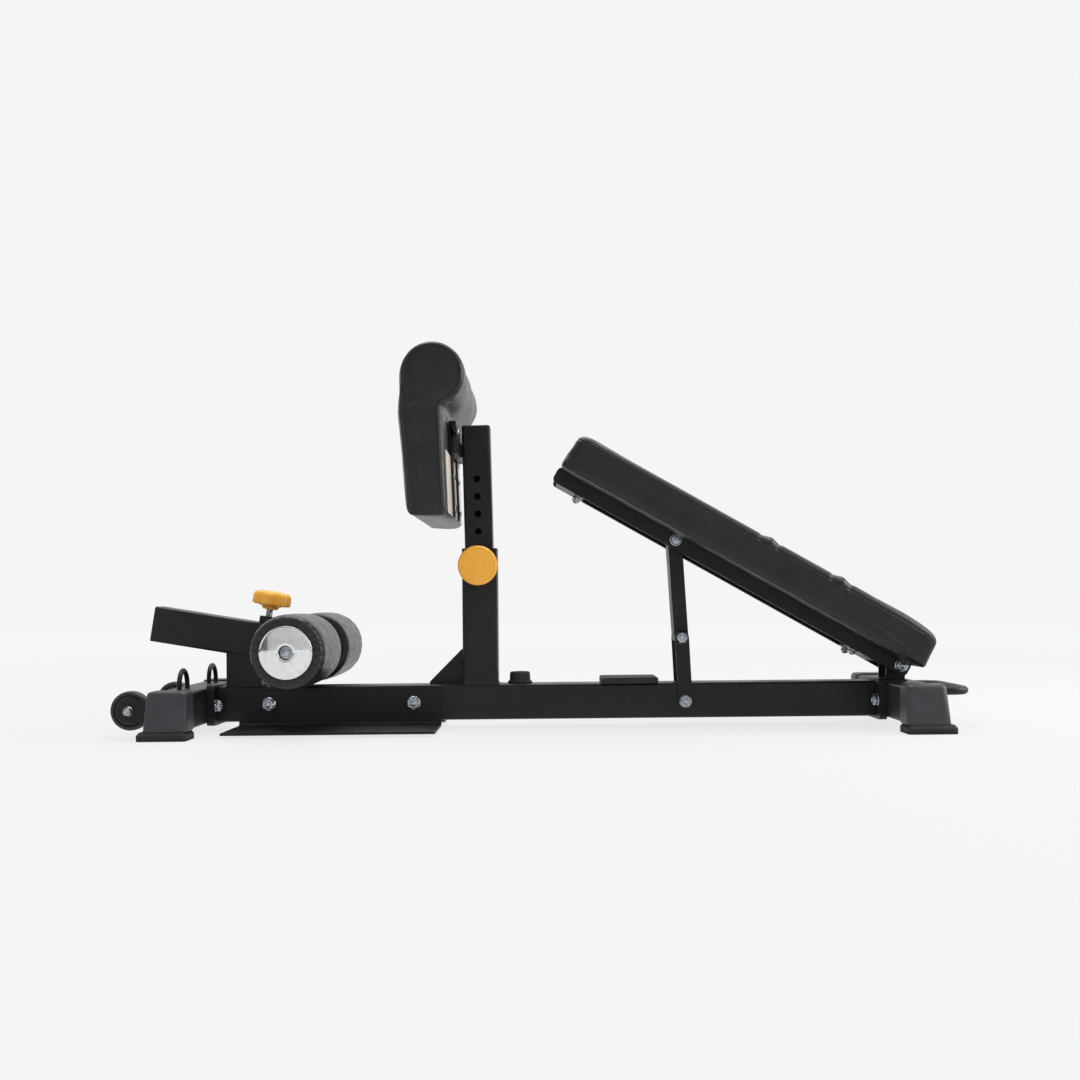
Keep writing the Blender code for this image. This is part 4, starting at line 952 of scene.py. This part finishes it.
def nut(centre, axis, across, low, high, sides=72):
    """A hexagon from low to high along the axis, its corners cut by a cone at both ends."""
    turn = np.linspace(0, 2 * np.pi, sides, endpoint=False)
    full = hex_radius(across, turn)
    cone = np.minimum(full, across * 0.5)
    slope = (high - low) * 0.2
    first, second, along = axes_about(axis)
    radius = np.array([cone * 0.9, cone * 0.96, full, full, cone * 0.96, cone * 0.9])
    height = np.array([low, low + 0.0001, low + slope, high - slope, high - 0.0001, high])[:, None, None]
    flat = radius[..., None] * (np.cos(turn)[:, None] * first + np.sin(turn)[:, None] * second)
    return skin(np.asarray(centre, float) + flat + height * along)


def washer(centre, axis, radius, low, thick=0.0018):
    """A lathe shape: a disc with a bevelled edge and a sunk face."""
    profile = [(0.0005, low), (radius, low), (radius, low + thick * 0.35), (radius - 0.0011, low + thick),
               (radius * 0.8, low + thick),
               (radius * 0.74, low + thick * 0.7), (0.0005, low + thick * 0.7)]
    return turned(profile, centre, axis, 56, 0.2)


def thread(centre, axis, radius, low, high, pitch=1.75 * MM):
    """A threaded rod: radius falls and rises once each pitch, with a chamfered end."""
    count = max(int((high - low) / pitch * 2), 2)
    height = np.linspace(low, high - 0.0008, count)
    size = radius - (np.arange(count) % 2) * pitch * 0.3
    profile = np.vstack([[(0.0004, low)], np.column_stack([size, height]), [(radius * 0.8, high),
                                                            (0.0004, high)]])
    return turned(profile, centre, axis, 32, 0.05, 1)


def nut_stack(centre, axis, shank, face, washer_radius, across=None):
    """Washer, nut and the bolt's end, outwards from a face along the axis."""
    across = across or shank * 3.1
    return [washer(centre, axis, washer_radius, face), nut(centre, axis, across, face + 0.0019,
                                                           face + 0.0095),
            thread(centre, axis, shank * 0.92, face + 0.008, face + 0.0116)]


def through(node, body, shank, washer_radius):
    """Stand in for a through bolt: a plain shank and a nut stack at each end of its grip."""
    low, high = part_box(node)
    centre = (low + high) / 2
    grip = (high.y - low.y) / 2 - 0.0115
    shapes = [turned([(0.0005, -grip), (shank, -grip), (shank, grip), (0.0005, grip)], centre, (0, 1, 0),
                     32, 0.1)]
    for side in (-1, 1):
        shapes += nut_stack(centre, (0, side, 0), shank, grip, washer_radius)
    return make(node + "_zinc", shapes, zinc, body, [node], 28)


for node, body, shank, washer_radius in (
        ("foot_plate_bolt_front", "frame", 0.006, 0.012), ("foot_plate_bolt_rear", "frame", 0.006, 0.012),
        ("prop_foot_bolt", "frame", 0.006, 0.011), ("bench_hinge_bolt", "bench", 0.006, 0.012),
        ("prop_top_bolt", "bench", 0.005, 0.011), ("wheel_bolt_near", "frame", 0.004, 0.008),
        ("wheel_bolt_far", "frame", 0.004, 0.008)):
    through(node, body, shank, washer_radius)


# %% [markdown]
# The small bolts
#
# Some fasteners are too small to be parts of their own in the CAD model: the studs that hold the end
# flanges together, the nuts on the prop's knee, the pad's bolts under the cross plates, and the button
# heads that hold the calf pad's straps. They sit on faces that the CAD gives.

# %% Flange nuts
beam_low, beam_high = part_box("main_beam")
for end, x, way in (("front", beam_low.x + 0.006 + 0.0003, 1), ("rear", beam_high.x - 0.006 - 0.0003,
                                                            -1)):
    shapes = [shape for y in (-0.048, 0.048) for shape in nut_stack((x, y, 0.045), (way, 0, 0), 0.006,
                                                            0.0, 0.0115)]
    make(f"{end}_flange_nuts", shapes, zinc, "frame", crease=28)

print("flange nuts at", round(beam_low.x, 4), round(beam_high.x, 4))

# %% Knee nuts
knee = np.array((0.2327, 0.0, 0.1523))
for side, name in ((-1, "near"), (1, "far")):
    outer = max(abs(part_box(f"prop_lower_bar_{name}")[0].y), abs(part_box(f"prop_lower_bar_{name}")[1].y))
    face = outer - 0.0065
    shapes = [washer(knee, (0, side, 0), 0.0115, face), nut(knee, (0, side, 0), 0.0172, face + 0.0019,
                                                            face + 0.0085),
              thread(knee, (0, side, 0), 0.005, face + 0.008, face + 0.0102)]
    make(f"knee_nut_{name}", shapes, zinc, "prop_lower", crease=28)

print("knee at", knee)

# %% Pad bolts and strap bolts
down = -bench_axes[0][:, 2]
rail_low, rail_high = own_box("bench_frame", bench_axes)
shapes = []
for u in (0.082, 0.621):
    for y in (-0.028, 0.028):
        seat = to_world(np.array([[u, y, -0.0153]]), bench_axes)[0]
        shapes += [washer(seat, down, 0.0095, 0.0002, 0.0015), nut(seat, down, 0.0128, 0.0018, 0.0072),
                   thread(seat, down, 0.0036, 0.006, 0.0094, 1.25 * MM)]
make("bench_pad_bolts", shapes, zinc, "bench", crease=28)

back = calf_axes[0][:, 0]
shapes = []
for z, strap_face in ((0.020, 0.0033), (0.075, 0.0033), (0.150, 0.0130)):
    for y in (-0.060, 0.060):
        seat = to_world(np.array([[strap_face, y, z]]), calf_axes)[0]
        shapes += [turned([(0.0004, 0.0), (0.0066, 0.0), (0.0064, 0.0016), (0.0036, 0.0034),
                           (0.0026, 0.0035), (0.0024, 0.0022), (0.0004, 0.0022)],
                          seat, back, 40, 0.5)]
make("calf_strap_bolts", shapes, zinc, "calf_rest", crease=28)
print("rail box", rail_low.round(4), rail_high.round(4))


# %% [markdown]
# Roller end caps
#
# A chrome dish closes the end of each roller and covers the gathered vinyl. It is spun from sheet: slightly
# domed, with a rolled rim and a countersunk hole in which the axle's bolt sits. The bolt is an M8 hex with
# a round washer face.

# %% Hoops
def hoop(profile, centre, way, round_m, sides):
    """A closed outline of radius and height, softened, carried once around the centre's Y line."""
    turn = np.linspace(0, 2 * np.pi, sides, endpoint=False)[None, :, None]
    line = soften(profile, round_m, 3, closed=True)
    return (np.array(centre) + line[:, None, :1] * (np.cos(turn) * (1, 0, 0) + np.sin(turn) * (0, 0, 1))
            + way * line[:, None, 1:] * np.array((0, 1, 0)))


print("hoop helper ready")

# %% Chrome caps and axle bolts
for side, name in ((-1, "near"), (1, "far")):
    low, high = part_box(f"roller_end_cap_{name}")
    rim = (high.z - low.z) / 2
    inner, outer = sorted((abs(low.y), abs(high.y)))
    middle = (axle[0], 0.0, axle[2])
    reach = np.linspace(0.0145, rim - 0.0035, 14)
    dome = outer + 0.0012 - 0.0024 * (reach / rim) ** 2
    profile = np.vstack([[(0.0108, inner + 0.0004), (0.0108, outer - 0.0016), (0.0118, outer + 0.0002)],
                         np.column_stack([reach, dome]),
                         [(rim - 0.0005, outer - 0.0014), (rim, inner + 0.0012), (rim - 0.001, inner),
                          (rim - 0.004, inner + 0.0005)]])
    dish = hoop(profile, middle, side, 0.0008, 128)
    make(f"roller_cap_{name}", [skin(dish, closed=True)], chrome, f"roller_{name}",
         [f"roller_end_cap_{name}"], 40)
    low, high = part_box(f"axle_end_bolt_{name}")
    inner, outer = sorted((abs(low.y), abs(high.y)))
    shapes = [turned([(0.0005, inner), (0.0098, inner), (0.0098, inner + 0.0018),
                      (0.0005, inner + 0.0018)], middle, (0, side, 0), 48, 0.4),
              nut(middle, (0, side, 0), 0.013, inner + 0.0016, outer),
              turned([(0.0004, outer - 0.0006), (0.0048, outer - 0.0006), (0.0045, outer + 0.0003),
                      (0.0004, outer + 0.0003)], middle, (0, side, 0), 32, 0.3)]
    make(f"axle_bolt_{name}", shapes, zinc, "ankle_arm", [f"axle_end_bolt_{name}"], 28)
print("caps at y", round(outer, 4))


# %% [markdown]
# The amber controls
#
# The clamp knob is a star grip with seven lobes, moulded in amber ABS around its stud: a lobed rim, a
# slightly domed top and a cone underneath down to the hub. Its surface is a lathe shape whose radius
# swells and sinks seven times a turn. The pull knob is a flat round disc on a neck, with three plain
# moulded rings on its face.

# %% Star knob and its stud
turning = joints["clamp_knob_turn"]
star_axis = unit(turning["axis"])
star_at = np.array(turning["pos_m"], float)
knob_points = (points_of(frame["nodes"]["clamp_knob"].data) - star_at) @ star_axis
knob_low, knob_high = knob_points.min(), knob_points.max()
first, second, along = axes_about(star_axis)
knob_reach = np.linalg.norm((points_of(frame["nodes"]["clamp_knob"].data) - star_at)
                            - knob_points[:, None] * star_axis, axis=1).max()


def lobes(turn, radius, height):
    """Seven lobes: full size on the crests, 17% less in the hollows, fading out towards the hub."""
    depth = 0.17 * np.clip((radius - 0.016) / 0.012, 0, 1)
    wave = 0.5 + 0.5 * np.cos(7 * turn)
    return 1 - depth * (1 - wave ** 0.55)


profile = [(0.0005, knob_low), (0.0125, knob_low), (0.0145, knob_low + 0.004), (0.021, knob_low + 0.007),
           (knob_reach - 0.003, knob_low + 0.0075),
           (knob_reach, knob_low + 0.010), (knob_reach - 0.0005, knob_high - 0.006), (knob_reach - 0.004,
                                                            knob_high - 0.001),
           (0.020, knob_high + 0.0016), (0.008, knob_high + 0.0022), (0.0005, knob_high + 0.0023)]
make("star_knob", [turned(profile, star_at, star_axis, 168, 1.6, 5, lobes)], amber_abs, "clamp",
     ["clamp_knob"], 50)
stud_points = (points_of(frame["nodes"]["clamp_stud"].data) - star_at) @ star_axis
make("clamp_stud_thread", [thread(star_at, star_axis, 0.006, stud_points.min(), stud_points.max())], zinc,
     "stud", ["clamp_stud"], 50)

print("stud", round(float(stud_points.min()), 4), round(float(stud_points.max()), 4))

# %% Pull knob
low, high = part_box("pull_knob")
disc = (high.z - low.z) / 2
centre = ((low.x + high.x) / 2, high.y, (low.z + high.z) / 2)
depth = high.y - low.y
back_of_disc = depth - 0.015
profile = [(0.0005, 0.0), (0.0125, 0.0), (0.0135, 0.0015), (0.0125, back_of_disc - 0.001), (disc - 0.003,
                                                            back_of_disc), (disc, back_of_disc + 0.003),
           (disc, depth - 0.003), (disc - 0.003, depth), (disc - 0.0045, depth), (disc - 0.0055,
                                                            depth - 0.0007), (disc - 0.0065, depth),
           (0.0205, depth), (0.0198, depth - 0.0005), (0.0191, depth), (0.0105, depth),
           (0.0098, depth - 0.0005), (0.0091, depth), (0.0005, depth)]
make("pull_knob_disc", [turned(profile, centre, (0, -1, 0), 128, 0.9, 3)], amber_abs, "pin",
     ["pull_knob"], 45)
print("star knob reach", round(float(knob_reach), 4), "pull knob radius", round(disc, 4))


# %% [markdown]
# Transport wheels, bump stop, handle and band loops
#
# The wheels are turned shapes with a hub, a thin web and a rounded tread. The bump stop is a rubber button.
# The lifting handle and the band loops are steel rod, bent cold to a radius of about three times the rod,
# then welded on. Each is a circle carried along a line whose corners have been rounded.

# %% Transport wheels
for name in ("near", "far"):
    low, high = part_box(f"transport_wheel_{name}")
    centre = (low + high) / 2
    size, half = (high.z - low.z) / 2, (high.y - low.y) / 2
    profile = [(0.0044, -half), (0.011, -half), (0.0125, -half + 0.0025), (size - 0.008, -half + 0.0030),
               (size - 0.006, -half + 0.0003),
               (size - 0.0025, -half + 0.0003), (size, -half + 0.0035), (size + 0.0002, 0.0),
               (size, half - 0.0035), (size - 0.0025, half - 0.0003),
               (size - 0.006, half - 0.0003), (size - 0.008, half - 0.0030), (0.0125, half - 0.0025),
               (0.011, half), (0.0044, half)]
    tyre = hoop(profile, centre, 1, 0.0012, 120)
    make(f"wheel_{name}_moulded", [skin(tyre, closed=True)], wheel_plastic, f"wheel_{name}",
         [f"transport_wheel_{name}"], 40)

print("wheel radius", round(size, 4))

# %% Bump stop
low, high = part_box("bench_bumper")
reach, tall = (high.x - low.x) / 2, high.z - low.z
profile = [(0.0005, 0.0), (reach, 0.0), (reach, 0.0035), (reach - 0.0032, 0.0055), (reach - 0.0036,
                                                            tall - 0.002), (reach - 0.006, tall),
                                                            (0.007, tall), (0.0055, tall - 0.002),
                                                            (0.0005, tall - 0.002)]
make("bump_stop", [turned(profile, ((low.x + high.x) / 2, (low.y + high.y) / 2, low.z), (0, 0, 1), 72,
                          0.9)], sole_rubber, "frame", ["bench_bumper"], 45)

print("bump stop", round(tall, 4), "tall")

# %% Lifting handle and band loops
low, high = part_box("rear_handle")
rod = (high.z - low.z) / 2
height = (high.z + low.z) / 2
corners = [(low.x + 0.0005, low.y + rod, height), (high.x - rod, low.y + rod, height), (high.x - rod,
                                                            high.y - rod, height), (low.x + 0.0005,
                                                            high.y - rod, height)]
path = resample(soften(corners, 0.030, 14), 0.004)
make("lifting_handle", [bent_along(path, rod, (0, 0, 1), 28)], powder, "frame", ["rear_handle"],
     50)

for name in ("near", "far"):
    low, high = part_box(f"band_loop_{name}")
    rod = (high.x - low.x) / 2
    x = (high.x + low.x) / 2
    half = (high.y - low.y) / 2 - rod
    middle = (high.y + low.y) / 2
    crown = high.z - rod - half
    turn = np.linspace(0, np.pi, 24)
    arch = np.column_stack([np.full(24, x), middle + half * np.cos(turn), crown + half * np.sin(turn)])
    path = resample(np.vstack([[(x, middle + half, low.z + 0.0003)], arch,
                               [(x, middle - half, low.z + 0.0003)]]), 0.0025)
    make(f"loop_{name}", [bent_along(path, rod, (1, 0, 0), 24)], powder, "frame", [f"band_loop_{name}"],
         50)
print("handle rod", round(rod, 4))


# %% [markdown]
# Foot caps and soles
#
# The feet are moulded shells pushed over the ends of the crossbars. Their walls have draft: the outline
# grows towards the floor so that the part leaves its mould. Under each is a rubber sole that toes out,
# with short ribs cut across its lower edge. The cap is a stack of round-cornered outlines; the sole's rim
# is pushed in and out by a square wave along its edge, at the bottom only.

# %% Feet
DRAFT_ALONG, DRAFT_ACROSS = 0.0049, 0.007
RIM_STEP, RIB_PITCH, RIB_DEPTH = 0.0008, 0.0062, 0.0018
for end, way in (("front", -1), ("rear", 1)):
    for side_name, side in (("near", -1), ("far", 1)):
        low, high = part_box(f"foot_cap_{end}_{side_name}")
        height = np.array([low.z, low.z + 0.002, high.z - 0.006, high.z - 0.003, high.z - 0.0008, high.z])
        grow = np.clip(1 - (height - low.z) / (high.z - 0.006 - low.z), 0, 1)
        pull_in = np.array([0.0008, 0.0, 0.0, 0.0009, 0.0028, 0.0055])
        rings = []
        for z, draft, depth in zip(height, grow, pull_in):
            x_low = low.x + depth + (DRAFT_ALONG * (1 - draft) if way < 0 else 0)
            x_high = high.x - depth - (DRAFT_ALONG * (1 - draft) if way > 0 else 0)
            y_low = low.y + depth * (side < 0) + (DRAFT_ACROSS * (1 - draft) if side < 0 else 0)
            y_high = high.y - depth * (side > 0) - (DRAFT_ACROSS * (1 - draft) if side > 0 else 0)
            flat = oblong((x_low, y_low), (x_high, y_high), 0.011, 8)
            rings.append(np.column_stack([flat, np.full(len(flat), z)]))
        make(f"foot_shell_{end}_{side_name}", [skin(np.array(rings))], slate_abs, "frame",
             [f"foot_cap_{end}_{side_name}"], 50)

        low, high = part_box(f"foot_sole_{end}_{side_name}")
        flat = resample(oblong((low.x, low.y), (high.x, high.y), 0.008, 8), RIM_STEP, closed=True)
        reach = np.arange(len(flat)) * RIM_STEP
        rib = np.clip(np.sin(reach * 2 * np.pi / RIB_PITCH) * 4, -1, 1) * 0.5 + 0.5
        edge = [(0.0, 0.0006, 1.0), (0.0006, 0.0, 1.0), (0.0042, 0.0, 1.0), (0.0048, 0.0, 0.0),
                (0.0095, 0.0, 0.0), (0.0108, 0.0012, 0.0), (0.0145, 0.0046, 0.0)]
        rings = np.array([np.column_stack([inset(flat, d), np.full(len(flat), low.z + z)])
                          - np.column_stack([(flat - inset(flat, RIB_DEPTH)) * (rib * ribbed)[:, None],
                                             np.zeros(len(flat))])
                          for z, d, ribbed in edge])
        make(f"sole_{end}_{side_name}_ribbed", [skin(rings)], sole_rubber, "frame",
             [f"foot_sole_{end}_{side_name}"], 40)


# %% [markdown]
# Welds, rail lips and the calf pad's backing
#
# Where tubes meet they are MIG welded, which leaves a rippled bead along the joint: each ripple is one
# drop of the weld pool, about 2.5 mm long. The bead is a rod whose radius swells once a ripple. The
# bench's rails are folded inwards along their lower edge, which shows as a thin bright line from below.
# The calf pad's cover is turned over the board's edges and stapled under a pale backing sheet.

# %% Weld beads
BEAD_STEP, RIPPLE = 0.0007, 0.0025


def bead(corners, normal, radius_mm=2.0, closed=True):
    """A weld along a line: a rod with ripples 2.5 mm long, half sunk in the joint."""
    path = resample(np.asarray(corners, float), BEAD_STEP, closed)
    reach = np.arange(len(path)) * BEAD_STEP
    size = radius_mm * MM * (0.82 + 0.18 * np.abs(np.sin(reach * np.pi / RIPPLE)))
    return bent_along(path, size, normal, 10, closed)


def square_joint(centre, half_x, half_y, z, radius=0.004):
    """The line where a square tube stands on a flat face: a round-cornered rectangle."""
    flat = oblong((centre[0] - half_x, centre[1] - half_y), (centre[0] + half_x, centre[1] + half_y),
                  radius, 5)
    return np.column_stack([flat, np.full(len(flat), z)])


deck = 0.0752
upright_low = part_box("upright_tube")[0]
beads = [bead(square_joint((-0.112, 0.0), 0.0303, 0.0285, deck), (0, 0, 1)),
         bead(square_joint((-0.517, 0.0), 0.0303, 0.0285, deck), (0, 0, 1)),
         bead([(upright_low.x + 0.002, y, deck) for y in (-0.0035, 0.0035)] + [(-0.143, y,
                                                            deck) for y in (0.0035, -0.0035)], (0, 0, 1),
                                                            1.6)]
slope = math.radians(9.6)
for side in (-1, 1):
    ends = [(x, axle[2] - math.tan(slope) * (x - axle[0]) - 0.0302 / math.cos(slope)) for x in (-0.5455,
                                                            -0.4885)]
    beads.append(bead([(x, side * 0.0292, z) for x, z in ends], (0, 1, 0), 1.9, closed=False))
make("frame_welds", beads, powder, "frame", crease=60)
hinge_low, hinge_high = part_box("hinge_bracket")
edge = [(hinge_low.x, hinge_low.y, deck), (hinge_high.x, hinge_low.y, deck), (hinge_high.x, hinge_high.y,
                                                            deck), (hinge_low.x, hinge_high.y, deck)]
make("hinge_weld", [bead(edge, (0, 0, 1), 1.5)], powder, "frame", crease=60)
print("weld rows", len(beads) + 1)

# %% Rail lips and calf backing
for side, name in ((-1, "near"), (1, "far")):
    inner, outer = 0.0358, 0.0420
    flat = oblong((0.03, min(side * inner, side * outer)), (0.668, max(side * inner, side * outer)),
                  0.001, 3)
    rings = np.array([np.column_stack([flat, np.full(len(flat), n)]) for n in (rail_low[2] + 0.0002,
                                                            rail_low[2] + 0.0026)])
    make(f"rail_lip_{name}", [skin(to_world(rings, bench_axes))], powder, "bench")

flat = oblong((backing_low[1] + 0.014, 0.007), (backing_high[1] - 0.014, 0.1085), 0.006, 5)
rings = np.array([np.column_stack([np.full(len(flat), x), flat]) for x in (-0.0012, -0.0002)])
make("calf_backing_sheet", [skin(to_world(rings, calf_axes))], birch, "calf_rest")
print("backing", backing_low.round(4), backing_high.round(4))


# %% [markdown]
# Measure and finish
#
# The looks must not outgrow the real size, so the finished box is printed.

# %% Sizes and finish
low, high = (list(corner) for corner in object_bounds())
print("visual box", low, high)
